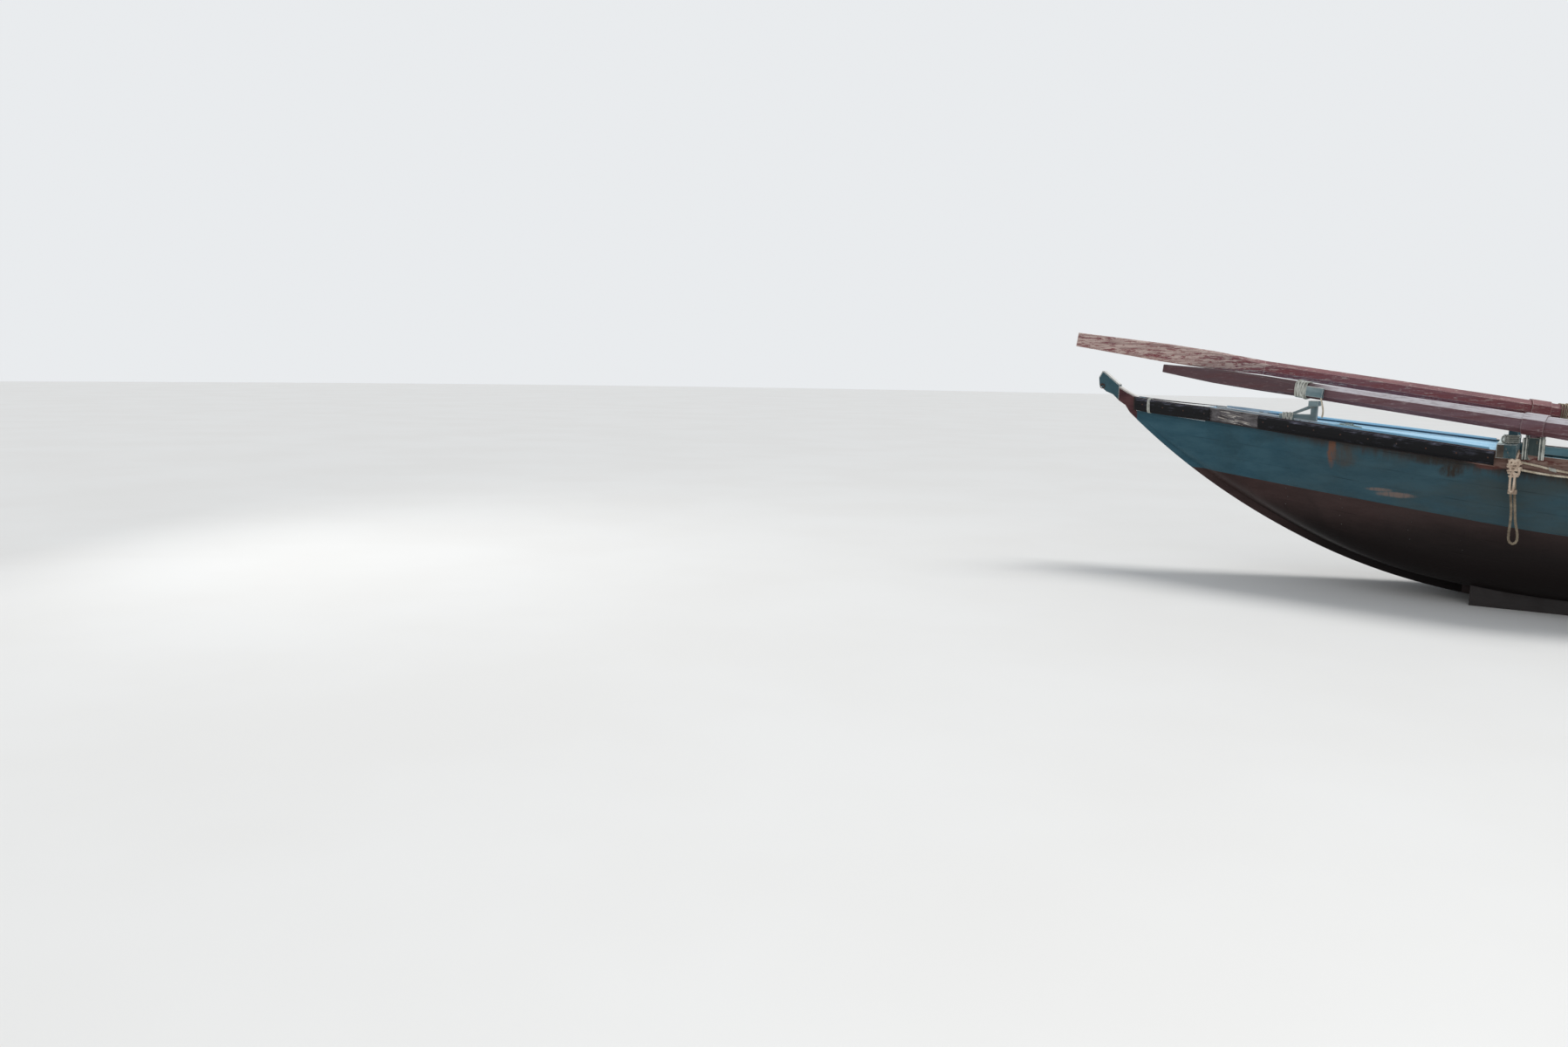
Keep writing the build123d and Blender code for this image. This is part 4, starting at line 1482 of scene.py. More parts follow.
@dataclass
class PaintedNodes:
    """The CAD nodes whose own shape shows, each with its finish."""

    iron: bpy.types.Material
    rust: Colour = tint(116, 76, 54)
    dirt: Colour = tint(50, 42, 35)
    rubbed: Colour = tint(122, 104, 95)
    # Colour of the painted shade low on the hull and the stem.
    low_dark: Colour = tint(18, 14, 13)
    # Colour of the painted shade along the toe rails' foot.
    deck_seam: Colour = tint(34, 62, 86)
    # Height about which the hull's painted shade sets in.
    bottom_dark_z: float = 0.5
    head_aft: float = 0.30
    gap: tuple[float, float] = (0.867, 1.213)
    rubber_end: float = 2.55
    port_white: float = 1.62
    starboard_white: float = 1.2
    beam_joint_x: float = 0.421
    pad_foot_z: float = 0.95
    transom_change_z: float = 0.634
    transom_board: float = 0.148

    def stains(self) -> tuple[Stain, ...]:
        """Rusty, dirty and rubbed patches on the topsides.

        Returns:
            The patches.
        """
        return (
            Stain(at(1.70, 0.45, 0.93), (0.034, 0.4, 0.14), self.rust, 0.8),
            Stain(at(1.78, 0.45, 0.90), (0.10, 0.4, 0.10), tint(74, 66, 58), 0.6),
            Stain(at(2.41, 0.62, 0.855), (0.09, 0.4, 0.055), self.dirt, 0.95),
            Stain(at(2.33, 0.62, 0.915), (0.22, 0.4, 0.045), self.dirt, 0.75),
            Stain(at(2.10, 0.50, 0.675), (0.15, 0.4, 0.022), self.rubbed, 0.8),
            Stain(at(2.00, 0.50, 0.700), (0.10, 0.4, 0.015), self.rubbed, 0.75),
            Stain(at(2.62, 0.62, 0.90), (0.10, 0.4, 0.03), tint(108, 66, 58), 0.85),
            Stain(at(1.5, -0.45, 0.95), (0.2, 0.4, 0.1), self.dirt, 0.7),
            Stain(at(3.9, -0.7, 0.8), (0.3, 0.4, 0.07), self.rust, 0.6),
            Stain(at(5.1, 0.6, 0.82), (0.25, 0.4, 0.07), self.dirt, 0.7),
        )

    def hull(self) -> Finishes:
        """Finishes of the planking, stem, keel, runners and transom.

        Returns:
            Each node's material.
        """
        topside = HullPaint(
            TEAL, INSIDE, PLANK, seam=tint(22, 38, 44), dust=tint(62, 69, 67), washed=tint(62, 51, 44),
            stains=self.stains(),
        ).material()
        bottom = HullPaint(
            BOTTOM, INSIDE, PLANK, seam=tint(24, 17, 16), dust=tint(62, 50, 48), washed=BOTTOM.dirt,
            sink_from=self.bottom_dark_z, sink=self.low_dark,
        ).material()
        # The bilge runners take the darker copy of the bottom paint, as painted shade.
        runner_shade = RUNNER_SHADE_PAINT.material()
        stem = StemPaint("stem_post_paint", MAROON, TEAL, BOTTOM, aft(self.head_aft), self.low_dark)
        transom = SplitPaint(
            "transom_paint", TRANSOM_TEAL, BOTTOM, Axis.UP, self.transom_change_z, blend=0.006,
            board=self.transom_board, seam=tint(20, 30, 34),
        )
        found = {
            "stem_horn": HORN_TEAL.material(),
            "stem_post": stem.material(),
            "bow_block": EDGE_WHITE.material(),
            "keel": BOTTOM.material(),
            "transom": transom.material(),
        }
        for side in Side:
            found[f"{side.label}_topside_planking"] = topside
            found[f"{side.label}_bottom_planking"] = bottom
            found[f"{side.label}_bilge_runner"] = runner_shade
        return found

    def rails(self) -> Finishes:
        """Finishes of the gunwale rails, their rubber and the toe rails.

        Returns:
            Each node's material.
        """
        start, end = self.gap
        # The rail's colours: painted shade, pale gap tops of wear and painted highlight, and the painted
        # crest highlight.
        timber = RailTimber(
            "rail_timber", RAIL_WOOD, SPLINTERED, shade=tint(20, 16, 18), pale=tint(206, 204, 198),
            crest=tint(186, 188, 200), gap=(aft(end), aft(start)), rubber_to=aft(self.rubber_end),
        ).material()
        rubber = STRIP_RUBBER.material()
        edges = {
            Side.PORT: EdgePaint("edge_paint", EDGE_WHITE, DECK, aft(self.port_white), self.deck_seam),
            # The starboard toe rail takes the lighter copy of the deck paint, as painted light.
            Side.STARBOARD: EdgePaint(
                "bright_edge_paint", EDGE_WHITE, LIT_DECK, aft(self.starboard_white), self.deck_seam
            ),
        }
        found = {}
        for side in Side:
            found[f"{side.label}_gunwale_rail"] = timber
            found[f"{side.label}_rubbing_strips"] = rubber
            found[f"{side.label}_toe_rail"] = edges[side].material()
        return found

    def inside(self) -> Finishes:
        """Finishes of the frames, the long timbers inside, the benches and the boards.

        Returns:
            Each node's material.
        """
        paint, bench = INSIDE.material(), BENCH_PAINT.material()
        found = {"floor_timbers": paint, "foredeck_beams": paint, "floorboards": FLOOR_WOOD.material()}
        for name in ("rowing_thwart", "after_thwart", "stern_bench"):
            found[name] = bench
        for side in Side:
            for part in ("inwale", "stringer", "riser", "ribs"):
                found[f"{side.label}_{part}"] = paint
        return found

    def deck(self) -> Finishes:
        """Finishes of the foredeck, the crutch, the crossbeam, and what carries the oars.

        Returns:
            Each node's material.
        """
        grey, post = GREY_TEAL.material(), POST_TEAL.material()
        joint, foot = self.beam_joint_x, self.pad_foot_z
        beam = SplitPaint("crossbeam_paint", BEAM_BROWN, BEAM_TEAL, Axis.ALONG, joint, blend=0.003)
        pad = SplitPaint("pad_paint", PAD_PAINT, RAIL_WOOD, Axis.UP, foot, blend=0.004).material()
        found = {
            "foredeck_planks": DECK.material(),
            "crossbeam": beam.material(),
            "oar_crutch": grey,
            "port_oar_chock": grey,
            "mooring_ring": self.iron,
        }
        for side in Side:
            found[f"{side.label}_thole_post"] = post
            found[f"{side.label}_thole_pin"] = self.iron
            found[f"{side.label}_oar_pad"] = pad
        return found

    def oars(self) -> Finishes:
        """Finishes of the two oars.

        Returns:
            Each node's material.
        """
        paints = {
            # The port oar's colours are darker than the starboard oar's, as painted shade on its side; its
            # top has the band of painted highlight, with painted shade forward of it.
            Side.PORT: OarPaint(
                "port_oar_paint", tint(86, 46, 50), tint(102, 77, 84), tint(162, 146, 146), tint(56, 38, 41),
                turn=(0, 0, OAR_FRAMES[Side.PORT].grain_angle), peel_from=3.6, peel_to=5.6, band=0.95,
                band_colour=tint(200, 195, 198), band_to=aft(1.62), dim=tint(50, 34, 35),
            ),
            Side.STARBOARD: OarPaint(
                "starboard_oar_paint", tint(120, 54, 57), tint(124, 80, 84), tint(202, 180, 170),
                tint(108, 70, 70), turn=(0, 0, OAR_FRAMES[Side.STARBOARD].grain_angle), peel_from=0.9,
                peel_to=2.7,
            ),
        }
        found = {}
        for side in Side:
            paint = paints[side].material()
            for part in ("loom", "blade", "collar"):
                found[f"{side.label}_oar_{part}"] = paint
        return found

    def build(self) -> Finishes:
        """Gives each node its material.

        Returns:
            Each node's material.
        """
        finishes = self.hull() | self.rails() | self.inside() | self.deck() | self.oars()
        for name, finish in finishes.items():
            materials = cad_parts[name].data.materials
            materials.clear()
            materials.append(finish)
        return finishes


@dataclass
class FreeCords:
    """The ropes and lines that hang or lie free."""

    # Lighter rope for the strands and the lanyard: painted light.
    bright: bpy.types.Material
    # Darker rope for the bight: painted shade.
    dull: bpy.types.Material
    thin: bpy.types.Material
    bight_size: float = 0.016
    strand_size: float = 0.014
    lanyard_size: float = 0.012
    heap_size: float = 0.007

    def cord(self, name: str, rope: LaidRope, route: list[Point]) -> bpy.types.Object:
        """Args:
            name: The CAD node that it stands for.
            rope: The rope that it is made of.
            route: Its route.

        Returns:
            The piece.
        """
        line = smooth_route(route)
        piece = rope.build([line])
        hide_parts(name)
        return piece

    def bight(self) -> bpy.types.Object:
        """The bight that hangs from the knot.

        Returns:
            The piece.
        """
        route = [
            (2.7235, 0.742, 0.850), (2.729, 0.742, 0.785), (2.739, 0.740, 0.715), (2.7465, 0.739, 0.650),
            (2.7475, 0.738, 0.585), (2.745, 0.738, 0.525), (2.744, 0.738, 0.466), (2.768, 0.739, 0.444),
            (2.792, 0.740, 0.466), (2.787, 0.740, 0.522), (2.771, 0.741, 0.585), (2.7655, 0.741, 0.650),
            (2.758, 0.742, 0.715), (2.7515, 0.742, 0.785), (2.7495, 0.742, 0.850),
        ]
        rope = LaidRope("hanging_bight_laid", self.bight_size, Body.HULL, self.dull)
        return self.cord("hanging_bight", rope, [at(*place) for place in route])

    def strands(self) -> list[bpy.types.Object]:
        """The two strands that run aft from the knot to the hitch.

        Returns:
            The pieces.
        """
        routes = {
            "upper_strand": [
                (2.768, 0.742, 0.936), (2.850, 0.743, 0.922), (2.940, 0.754, 0.900), (3.050, 0.765, 0.886),
                (3.150, 0.772, 0.880),
            ],
            "lower_strand": [
                (2.768, 0.742, 0.892), (2.850, 0.743, 0.878), (2.940, 0.752, 0.868), (3.050, 0.762, 0.863),
                (3.150, 0.770, 0.864),
            ],
        }
        made = []
        for name, route in routes.items():
            rope = LaidRope(f"{name}_laid", self.strand_size, Body.HULL, self.bright)
            made.append(self.cord(name, rope, [at(*place) for place in route]))
        return made

    def lanyard(self) -> bpy.types.Object:
        """The short lanyard under the port oar's chock.

        Returns:
            The piece.
        """
        route = [
            (1.606, 0.396, 1.275), (1.613, 0.397, 1.243), (1.622, 0.398, 1.210), (1.627, 0.397, 1.176),
            (1.621, 0.395, 1.143),
        ]
        rope = LaidRope("chock_lanyard_laid", self.lanyard_size, Body.PORT_OAR, self.bright)
        return self.cord("chock_lanyard", rope, [at(*place) for place in route])

    def heap(self) -> bpy.types.Object:
        """The small heap of line on the deck; each height is measured from the deck.

        Returns:
            The piece.
        """
        route = [
            (1.636, 0.268, 0.006), (1.680, 0.256, 0.006), (1.735, 0.252, 0.006), (1.790, 0.262, 0.007),
            (1.822, 0.286, 0.008), (1.812, 0.316, 0.008), (1.770, 0.330, 0.008), (1.715, 0.330, 0.008),
            (1.672, 0.314, 0.008), (1.658, 0.288, 0.012), (1.684, 0.266, 0.016), (1.736, 0.260, 0.018),
            (1.800, 0.256, 0.016), (1.858, 0.258, 0.010), (1.902, 0.274, 0.007), (1.912, 0.300, 0.007),
            (1.886, 0.322, 0.009), (1.840, 0.330, 0.014), (1.790, 0.322, 0.018), (1.742, 0.310, 0.022),
            (1.712, 0.290, 0.026), (1.732, 0.268, 0.028), (1.782, 0.266, 0.026), (1.826, 0.274, 0.022),
            (1.856, 0.292, 0.018), (1.846, 0.314, 0.022), (1.806, 0.322, 0.026), (1.762, 0.312, 0.030),
            (1.748, 0.290, 0.033), (1.776, 0.280, 0.034), (1.806, 0.290, 0.033), (1.800, 0.306, 0.033),
        ]
        places = [at(distance, y, deck_z(distance) + lift) for distance, y, lift in route]
        rope = LaidRope("deck_line_heap_laid", self.heap_size, Body.HULL, self.thin)
        return self.cord("deck_line_heap", rope, places)

    def build(self) -> int:
        """Makes the cords.

        Returns:
            How many there are.
        """
        return len([self.bight(), *self.strands(), self.lanyard(), self.heap()])


@dataclass
class GunwaleRope:
    """Knot, loop, binding and hitch of the rope on the port gunwale."""

    rope: bpy.types.Material
    knot_size: float = 0.015
    loop_size: float = 0.014
    binding_size: float = 0.005
    hitch_size: float = 0.014

    def knot(self) -> bpy.types.Object:
        """The knot under the crossbeam's end, with its part that comes over the rail.

        Returns:
            The piece.
        """
        over_rail = [
            (2.757, 0.640, 0.950), (2.757, 0.639, 0.985), (2.757, 0.652, 1.000), (2.757, 0.690, 0.998),
            (2.756, 0.722, 0.992), (2.752, 0.738, 0.970), (2.746, 0.745, 0.940), (2.738, 0.746, 0.900),
            (2.732, 0.745, 0.862),
        ]
        lines = [smooth_route([at(*place) for place in over_rail])]
        for height, half, lean in (
            (0.852, 0.022, -0.06), (0.868, 0.027, 0.10), (0.887, 0.032, -0.12), (0.905, 0.035, 0.08),
            (0.923, 0.034, -0.10), (0.940, 0.030, 0.14),
        ):
            lines.append(ring(at(2.741, 0.7445, height), FORWARD + UPWARD * lean, PORTWARD, half, 0.013, 0.6))
        for place, slope, half, deep in (
            (at(2.741, 0.757, 0.905), 0.45, 0.046, 0.019), (at(2.744, 0.756, 0.916), -0.5, 0.036, 0.015)
        ):
            lines.append(ring(place, FORWARD * slope + UPWARD, FORWARD - UPWARD * slope, half, deep))
        piece = LaidRope("gunwale_knot_turns", self.knot_size, Body.HULL, self.rope).build(lines)
        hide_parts("gunwale_knot")
        return piece

    def binding(self) -> bpy.types.Object:
        """Thin binding that holds the bight's two parts together.

        Returns:
            The piece.
        """
        lines = []
        for turn in range(5):
            centre = at(2.7425, 0.7415, 0.748 + 0.0052 * turn)
            lines.append(ring(centre, FORWARD, PORTWARD, 0.0222, 0.0112, 0.6))
        return LaidRope("bight_binding", self.binding_size, Body.HULL, self.rope, sides=1).build(lines)

    def loop(self) -> bpy.types.Object:
        """Short loop that hangs from the knot over the bight's upper part."""
        lines = [ring(at(2.7365, 0.7570, 0.818), FORWARD, UPWARD, 0.0105, 0.058, 0.6)]
        return LaidRope("knot_loop", self.loop_size, Body.HULL, self.rope).build(lines)

    def hitch(self) -> bpy.types.Object:
        """Turns over the rail that hold the two strands aft.

        Returns:
            The piece.
        """
        lines = []
        for distance in (3.158, 3.173, 3.186):
            outer = 0.7640 + 0.045 * (distance - 3.158)
            section = [
                (0.694, 0.950), (0.700, 0.964), (0.730, 0.9665), (outer, 0.966), (outer + 0.013, 0.952),
                (outer + 0.012, 0.910), (outer + 0.008, 0.868), (outer - 0.012, 0.848), (0.718, 0.848),
            ]
            lines.append(smooth_route([at(distance, y, z) for y, z in section]))
        piece = LaidRope("aft_hitch_turns", self.hitch_size, Body.HULL, self.rope).build(lines)
        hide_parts("aft_hitch")
        return piece

    def build(self) -> int:
        """Makes the four pieces.

        Returns:
            How many there are.
        """
        return len([self.knot(), self.binding(), self.loop(), self.hitch()])


@dataclass
class Lashings:
    """Rope turns on the pads, on the oars, on the thole post and on the crutch's foot."""

    cream: bpy.types.Material
    pale: bpy.types.Material
    dark: bpy.types.Material
    pad_line: float = 0.0072
    port_line: float = 0.009
    starboard_line: float = 0.0085
    post_line: float = 0.0125
    foot_line: float = 0.0105
    dark_turns: tuple[int, ...] = (1, 3, 5)
    pad_outer: float = 0.7380
    pad_inner: float = 0.6360
    pad_foot: float = 0.953
    rail_face: float = 0.7322
    rail_flare: float = 0.1407
    rail_face_at: float = 2.768

    def pad_turn(self, side: Side, distance: float, top: float, lift: float) -> list[Vector]:
        """One turn over an oar pad.

        Args:
            side: The pad's side.
            distance: Its distance aft.
            top: Height of the turns' middle over the pad.
            lift: How far this turn rides higher.

        Returns:
            Points along the turn.
        """
        outer, inner, crown = self.pad_outer, self.pad_inner, top + lift
        low = max(outer, self.rail_face + self.rail_flare * (distance - self.rail_face_at))
        section = [
            (low, self.pad_foot), (low, 0.985), (outer, 1.005), (outer, top - 0.012), (outer - 0.001, crown),
            (outer - 0.014, crown), (0.687, crown), (inner + 0.014, crown), (inner + 0.001, crown),
            (inner, top - 0.012), (inner, 1.000), (inner, self.pad_foot),
        ]
        return smooth_route([at(distance, side.value * y, z) for y, z in section])

    def pad(self, side: Side, pad_top: float) -> list[bpy.types.Object]:
        """Turns over one oar pad's two shoulders, some of them dark.

        Args:
            side: The pad's side.
            pad_top: Height of its top.

        Returns:
            The pieces.
        """
        pale_turns, dark_turns = [], []
        places = [start + 0.0075 * turn for start in (2.7757, 2.8580) for turn in range(4)]
        for index, distance in enumerate(places):
            line = self.pad_turn(side, distance, pad_top - 0.0052, 0.0008 * (index % 3))
            (dark_turns if index in self.dark_turns else pale_turns).append(line)
        name = f"{side.label}_pad"
        piece = LaidRope(f"{name}_turns", self.pad_line, Body.HULL, self.pale, sides=1).build(pale_turns)
        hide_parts(f"{name}_lashing")
        dark = LaidRope(f"{name}_dark_turns", self.pad_line, Body.HULL, self.dark, sides=1).build(dark_turns)
        return [piece, dark]

    def port_oar(self) -> bpy.types.Object:
        """Turns round the port oar over its chock.

        Returns:
            The piece.
        """
        oar = OAR_FRAMES[Side.PORT]
        turns = []
        for number in range(9):
            lean = 0.002 * (-1) ** number
            turns.append(oar.turn(1.373 + 0.0092 * number, 0.0505 - 0.00006 * number, 0.0535, lean))
        turns.append(oar.turn(1.412, 0.0560, 0.0585, 0.030))
        piece = LaidRope("port_oar_turns", self.port_line, Body.PORT_OAR, self.pale, sides=1).build(turns)
        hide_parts("port_oar_lashing")
        return piece

    def starboard_oar(self) -> bpy.types.Object:
        """Uneven turns round the starboard oar, with two that cross them.

        Returns:
            The piece.
        """
        oar, chance, turns = OAR_FRAMES[Side.STARBOARD], random.Random(11), []
        for number in range(15):
            distance = -0.294 + 0.0120 * number + chance.uniform(-0.002, 0.002)
            turns.append(oar.turn(distance, 0.0575, 0.0603, chance.uniform(-0.006, 0.006)))
        for distance, lean in ((-0.210, 0.045), (-0.190, -0.050)):
            turns.append(oar.turn(distance, 0.0640, 0.0668, lean))
        rope = LaidRope("starboard_oar_turns", self.starboard_line, Body.STARBOARD_OAR, self.cream, sides=1)
        piece = rope.build(turns)
        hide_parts("starboard_oar_lashing")
        return piece

    def post(self) -> bpy.types.Object:
        """Wrap and knot round the foot of the port thole post.

        Returns:
            The piece.
        """
        lines = []
        for height in (1.0425, 1.0555, 1.0685, 1.0810):
            lines.append(ring(at(2.717, 0.560, height), FORWARD, PORTWARD, 0.0315, 0.0315, 0.75))
        lines.append(ring(at(2.676, 0.566, 1.062), PORTWARD + UPWARD * 0.3, UPWARD, 0.016, 0.020))
        lines.append(ring(at(2.672, 0.560, 1.058), PORTWARD * 0.4 + UPWARD, FORWARD, 0.020, 0.011))
        return LaidRope("post_wrap", self.post_line, Body.HULL, self.pale, sides=1).build(lines)

    def foot(self) -> bpy.types.Object:
        """Turns that tie the crutch's foot down.

        Returns:
            The piece.
        """
        lines = []
        for number in range(6):
            up = UPWARD + FORWARD * (0.1 * (-1) ** number)
            lines.append(ring(at(1.372 + 0.0112 * number, 0.325, 1.139), PORTWARD, up, 0.0275, 0.0265, 0.72))
        return LaidRope("foot_turns", self.foot_line, Body.HULL, self.pale, sides=1).build(lines)

    def build(self) -> int:
        """Makes all the lashings.

        Returns:
            How many pieces there are.
        """
        pads = self.pad(Side.PORT, 1.080) + self.pad(Side.STARBOARD, 1.136)
        return len([*pads, self.port_oar(), self.starboard_oar(), self.post(), self.foot()])


@dataclass
class Finder:
    """Finds places on the surface of a CAD node."""

    node: str

    def __post_init__(self) -> None:
        """Reads the node's mesh."""
        form = bmesh.new()
        form.from_mesh(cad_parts[self.node].data)
        self.tree = BVHTree.FromBMesh(form)
        form.free()

    def struck(self, start: Point, way: Vector) -> Hit | None:
        """First place that a straight line meets.

        Args:
            start: Where the line starts.
            way: Its direction.

        Returns:
            The place and the outward normal, or None if it misses.
        """
        place, normal, _, _ = self.tree.ray_cast(Vector(start), way)
        if place is None:
            return None
        return place, normal if normal.dot(way) < 0 else -normal


@dataclass
class Fastenings:
    """Nail heads in the rubber, the planking, the deck, the benches and the transom."""

    rust: bpy.types.Material
    dressed: Finishes
    plank_head: float = 0.0048
    rubber_head: float = 0.0055
    deck_head: float = 0.0042
    bench_head: float = 0.005
    board_head: float = 0.0045
    rubber_runs: tuple[tuple[float, float], ...] = ((0.36, 0.83), (1.25, 2.6))
    rubber_pitch: float = 0.165
    crown_drop: float = 0.042
    search_y: float = 1.4
    search_z: float = 1.6
    frames: tuple[float, ...] = (1.42, 1.78, 2.2, 2.5, 2.96, 3.18, 3.66, 4.14, 4.68, 5.16, 5.6)
    deck_beams: tuple[float, ...] = (1.1, 1.6, 2.05, 2.59)
    floors: tuple[float, ...] = (2.96, 3.66, 4.14, 4.68)
    deck_plank: float = 0.13
    floorboard: float = 0.144
    transom_x: float = -3.06
    transom_top: float = 1.03
    transom_pitch: float = 0.074
    transom_inset: float = 0.022
    behind_x: float = -3.5

    def heads(
        self, name: str, found: list[Hit | None], size: float, finish: bpy.types.Material
    ) -> bpy.types.Object:
        """Makes one piece of a run of nail heads.

        Args:
            name: The piece's name.
            found: Place and normal of each head; None is left out.
            size: Radius of a head.
            finish: Its material.

        Returns:
            The piece.
        """
        form = bmesh.new()
        for hit in found:
            if hit is None:
                continue
            place, normal = hit
            turn = normal.to_track_quat("Z", "Y").to_matrix().to_4x4()
            seat = Matrix.Translation(place + normal * size * 0.12) @ turn
            bmesh.ops.create_cone(
                form, cap_ends=True, segments=8, radius1=size, radius2=size * 0.62, depth=size * 0.4,
                matrix=seat,
            )
        return placed(name, form, Body.HULL, finish)

    def rubber(self, side: Side) -> bpy.types.Object:
        """Heads along the crown of one side's rubber strips.

        Args:
            side: The strips' side.

        Returns:
            The piece.
        """
        finder, found = Finder(f"{side.label}_rubbing_strips"), []
        for first, last in self.rubber_runs:
            count = round((last - first) / self.rubber_pitch)
            for index in range(count + 1):
                distance = first + (last - first) * index / count
                start = at(distance, side.value * self.search_y, sheer_z(distance) - self.crown_drop)
                found.append(finder.struck(start, PORTWARD * -side.value))
        return self.heads(f"{side.label}_rubber_nails", found, self.rubber_head, self.rust)

    def planking(self, side: Side, band: str, planks: range) -> bpy.types.Object:
        """Two heads for each plank at each frame.

        Args:
            side: The planking's side.
            band: topside or bottom.
            planks: Numbers of the planks, counted down from the sheer.

        Returns:
            The piece.
        """
        node = f"{side.label}_{band}_planking"
        finder, found = Finder(node), []
        for distance in self.frames:
            for number in planks:
                for share, shift in ((0.24, -0.007), (0.76, 0.007)):
                    z = sheer_z(distance) - (number + share) * PLANK
                    start = at(distance + shift, side.value * self.search_y, z)
                    found.append(finder.struck(start, PORTWARD * -side.value))
        name = f"{side.label}_{band}_nail_heads"
        return self.heads(name, found, self.plank_head, self.dressed[node])

    def deck(self) -> bpy.types.Object:
        """Two heads for each deck plank at each beam.

        Returns:
            The piece.
        """
        finder, found = Finder("foredeck_planks"), []
        for distance in self.deck_beams:
            for number in range(-5, 6):
                for shift in (-0.034, 0.034):
                    start = at(distance + shift * 0.25, number * self.deck_plank + shift, self.search_z)
                    found.append(finder.struck(start, -UPWARD))
        finish = self.dressed["foredeck_planks"]
        return self.heads("deck_nail_heads", found, self.deck_head, finish)

    def benches(self) -> list[bpy.types.Object]:
        """Heads near both ends of each board of the thwarts and the stern bench.

        Returns:
            The pieces.
        """
        made = []
        for bench, edge, boards in (
            ("rowing_thwart", 0.57, (3.33, 3.47)),
            ("after_thwart", 0.57, (4.42, 4.54)),
            ("stern_bench", 0.42, (5.40, 5.548, 5.696, 5.844, 5.992)),
        ):
            finder = Finder(bench)
            found = []
            for board in boards:
                for y in (-edge, edge):
                    found.append(finder.struck(at(board, y, self.search_z), -UPWARD))
            made.append(self.heads(f"{bench}_nails", found, self.bench_head, self.rust))
        return made

    def transom(self) -> bpy.types.Object:
        """Heads down both edges of the transom.

        Returns:
            The piece.
        """
        finder, found = Finder("transom"), []
        for edge in (-1, 1):
            for row in range(7):
                z = self.transom_top - self.transom_pitch * row
                side_face = finder.struck((self.transom_x, edge * self.search_y, z), PORTWARD * -edge)
                if side_face is not None:
                    y = side_face[0].y - edge * self.transom_inset
                    found.append(finder.struck((self.behind_x, y, z), FORWARD))
        return self.heads("transom_nails", found, self.plank_head, self.rust)

    def floorboards(self) -> bpy.types.Object:
        """Two heads for each floorboard at each floor timber.

        Returns:
            The piece.
        """
        finder, found = Finder("floorboards"), []
        for distance in self.floors:
            for row in range(-2, 3):
                for shift in (-0.04, 0.04):
                    start = at(distance, self.floorboard * row + shift, self.search_z)
                    found.append(finder.struck(start, -UPWARD))
        return self.heads("floorboard_nails", found, self.board_head, self.rust)

    def build(self) -> int:
        """Makes all the heads.

        Returns:
            How many pieces there are.
        """
        made = []
        for side in Side:
            made.append(self.rubber(side))
            made.append(self.planking(side, "topside", range(1, 4)))
            made.append(self.planking(side, "bottom", range(4, 8)))
        return len([*made, self.deck(), *self.benches(), self.transom(), self.floorboards()])


@dataclass
class BrokenRail:
    """Slivers that stand off the rail where the rubber strip is missing."""

    finish: bpy.types.Material
    count: int = 20
    seed: int = 5
    run: tuple[float, float] = (0.90, 1.17)
    drops: tuple[float, float] = (0.004, 0.082)
    lengths: tuple[float, float] = (0.05, 0.13)
    thicknesses: tuple[float, float] = (0.0016, 0.0034)
    lift: float = 0.05
    rail_way: Point = (1, 0, 0.104)
    search_y: float = 1.2

    def sliver(self, form: bmesh.types.BMesh, finder: Finder, side: Side, chance: random.Random) -> None:
        """Adds one sliver, thin and lifted at its free end.

        Args:
            form: The mesh that takes it.
            finder: Finds places on the rail.
            side: The rail's side.
            chance: Source of its place, size and lean.
        """
        distance = chance.uniform(*self.run)
        drop = chance.uniform(*self.drops)
        long = chance.uniform(*self.lengths)
        thick = chance.uniform(*self.thicknesses)
        start = at(distance, side.value * self.search_y, sheer_z(distance) - drop)
        hit = finder.struck(start, PORTWARD * -side.value)
        if hit is None:
            return
        place, normal = hit
        made = bmesh.ops.create_cube(form, size=1.0)["verts"]
        bmesh.ops.scale(form, verts=made, vec=(long, thick * 2.2, thick))
        for vertex in made:
            taper = 0.5 - vertex.co.x / long
            vertex.co.y *= 0.2 + 0.8 * taper
            vertex.co.z = vertex.co.z * (0.2 + 0.8 * taper) + self.lift * (0.5 - taper) * long
        way = Vector(self.rail_way)
        slope = way - normal * normal.dot(way)
        along = slope.normalized() * chance.choice((-1, 1))
        along = (along + normal.cross(along) * chance.uniform(-0.12, 0.12)).normalized()
        turn = Matrix((along, normal.cross(along), normal)).transposed().to_4x4()
        bmesh.ops.transform(form, verts=made, matrix=Matrix.Translation(place) @ turn)

    def build(self) -> int:
        """Makes the slivers of both sides.

        Returns:
            How many slivers there are on each side.
        """
        for side in Side:
            chance = random.Random(self.seed + side.value)
            finder = Finder(f"{side.label}_gunwale_rail")
            form = bmesh.new()
            for _ in range(self.count):
                self.sliver(form, finder, side, chance)
            placed(f"{side.label}_rail_slivers", form, Body.HULL, self.finish)
        return self.count


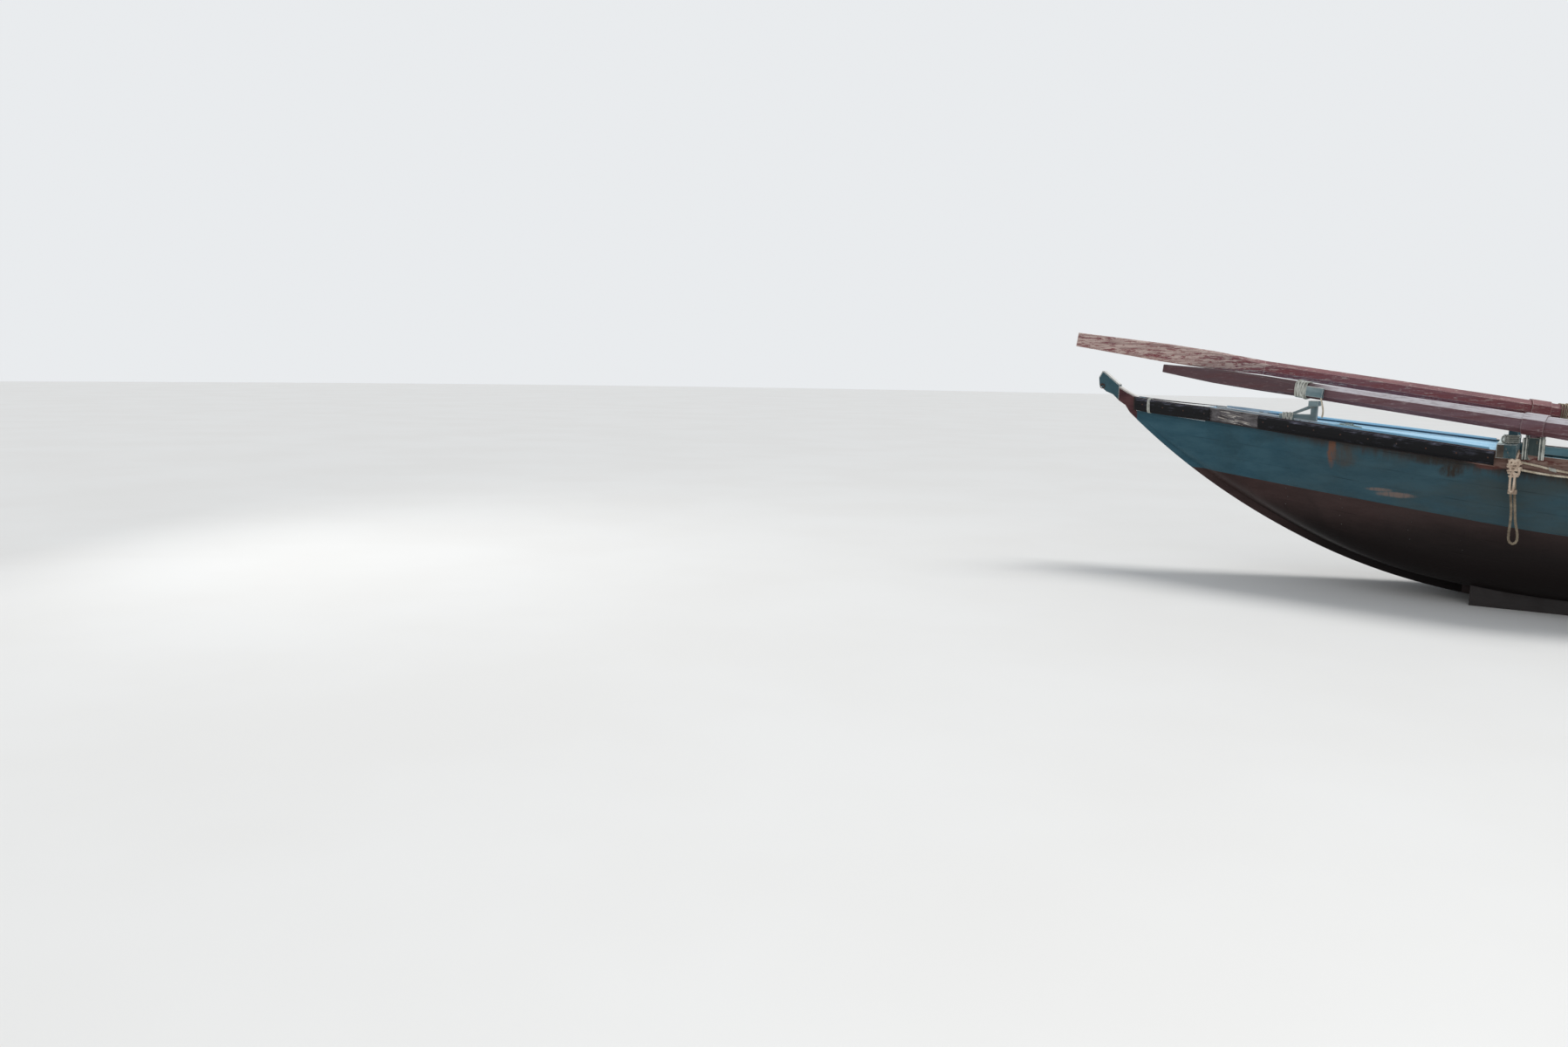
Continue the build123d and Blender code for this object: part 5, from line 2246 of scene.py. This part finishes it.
@dataclass
class SmallTies:
    """Small ties: thin line over the forward rubber, and thread on the upper strand."""

    pale: bpy.types.Material
    line_size: float = 0.0068
    thread_size: float = 0.0044
    tie_start: float = 0.400
    tie_y: float = 0.0755

    def rubber_tie(self) -> bpy.types.Object:
        """Turns of thin line over the forward rubber strip.

        Returns:
            The piece.
        """
        section = [
            (-0.030, -0.004), (-0.022, 0.006), (0.006, 0.0065), (0.040, 0.005), (0.056, -0.010),
            (0.061, -0.042), (0.055, -0.076), (0.040, -0.093), (0.010, -0.097), (-0.020, -0.094),
        ]
        lines = []
        for number in range(3):
            distance = self.tie_start + 0.0072 * number
            top = sheer_z(distance)
            lines.append(smooth_route([at(distance, self.tie_y + y, top + z) for y, z in section]))
        return LaidRope("forward_rubber_tie", self.line_size, Body.HULL, self.pale, sides=1).build(lines)

    def strand_tie(self) -> bpy.types.Object:
        """White thread bound round the upper strand.

        Returns:
            The piece.
        """
        lines = []
        for number in range(7):
            share = number / 6
            centre = at(2.918 + 0.030 * share, 0.7512 + 0.0036 * share, 0.9052 - 0.0072 * share)
            lines.append(ring(centre, PORTWARD, UPWARD + FORWARD * 0.24, 0.0098, 0.0098, 0.6))
        return LaidRope("strand_binding", self.thread_size, Body.HULL, self.pale, sides=1).build(lines)

    def build(self) -> int:
        """Makes the ties.

        Returns:
            How many there are.
        """
        return len([self.rubber_tie(), self.strand_tie()])


def main() -> None:
    """Builds every sub-assembly in order and reports each."""
    logging.basicConfig(level=logging.INFO, format="%(name)s %(message)s")
    LOG.info("lamps %d", Studio().build())
    cream, pale, iron = CREAM.material(), PALE_ROPE.material(), IRON.material()
    cords = FreeCords(LIT_ROPE.material(), SHADED_ROPE.material(), DECK_LINE.material())
    LOG.info("free cords %d", cords.build())
    LOG.info("gunwale rope pieces %d", GunwaleRope(KNOT_ROPE.material()).build())
    LOG.info("lashings %d", Lashings(cream, pale, DARK_ROPE.material()).build())
    dressed = PaintedNodes(iron).build()
    LOG.info("painted nodes %d", len(dressed))
    LOG.info("fastenings %d", Fastenings(iron, dressed).build())
    LOG.info("slivers on each side %d", BrokenRail(SLIVER_WOOD.material()).build())
    LOG.info("small ties %d", SmallTies(pale).build())


if __name__ == "__main__":
    main()
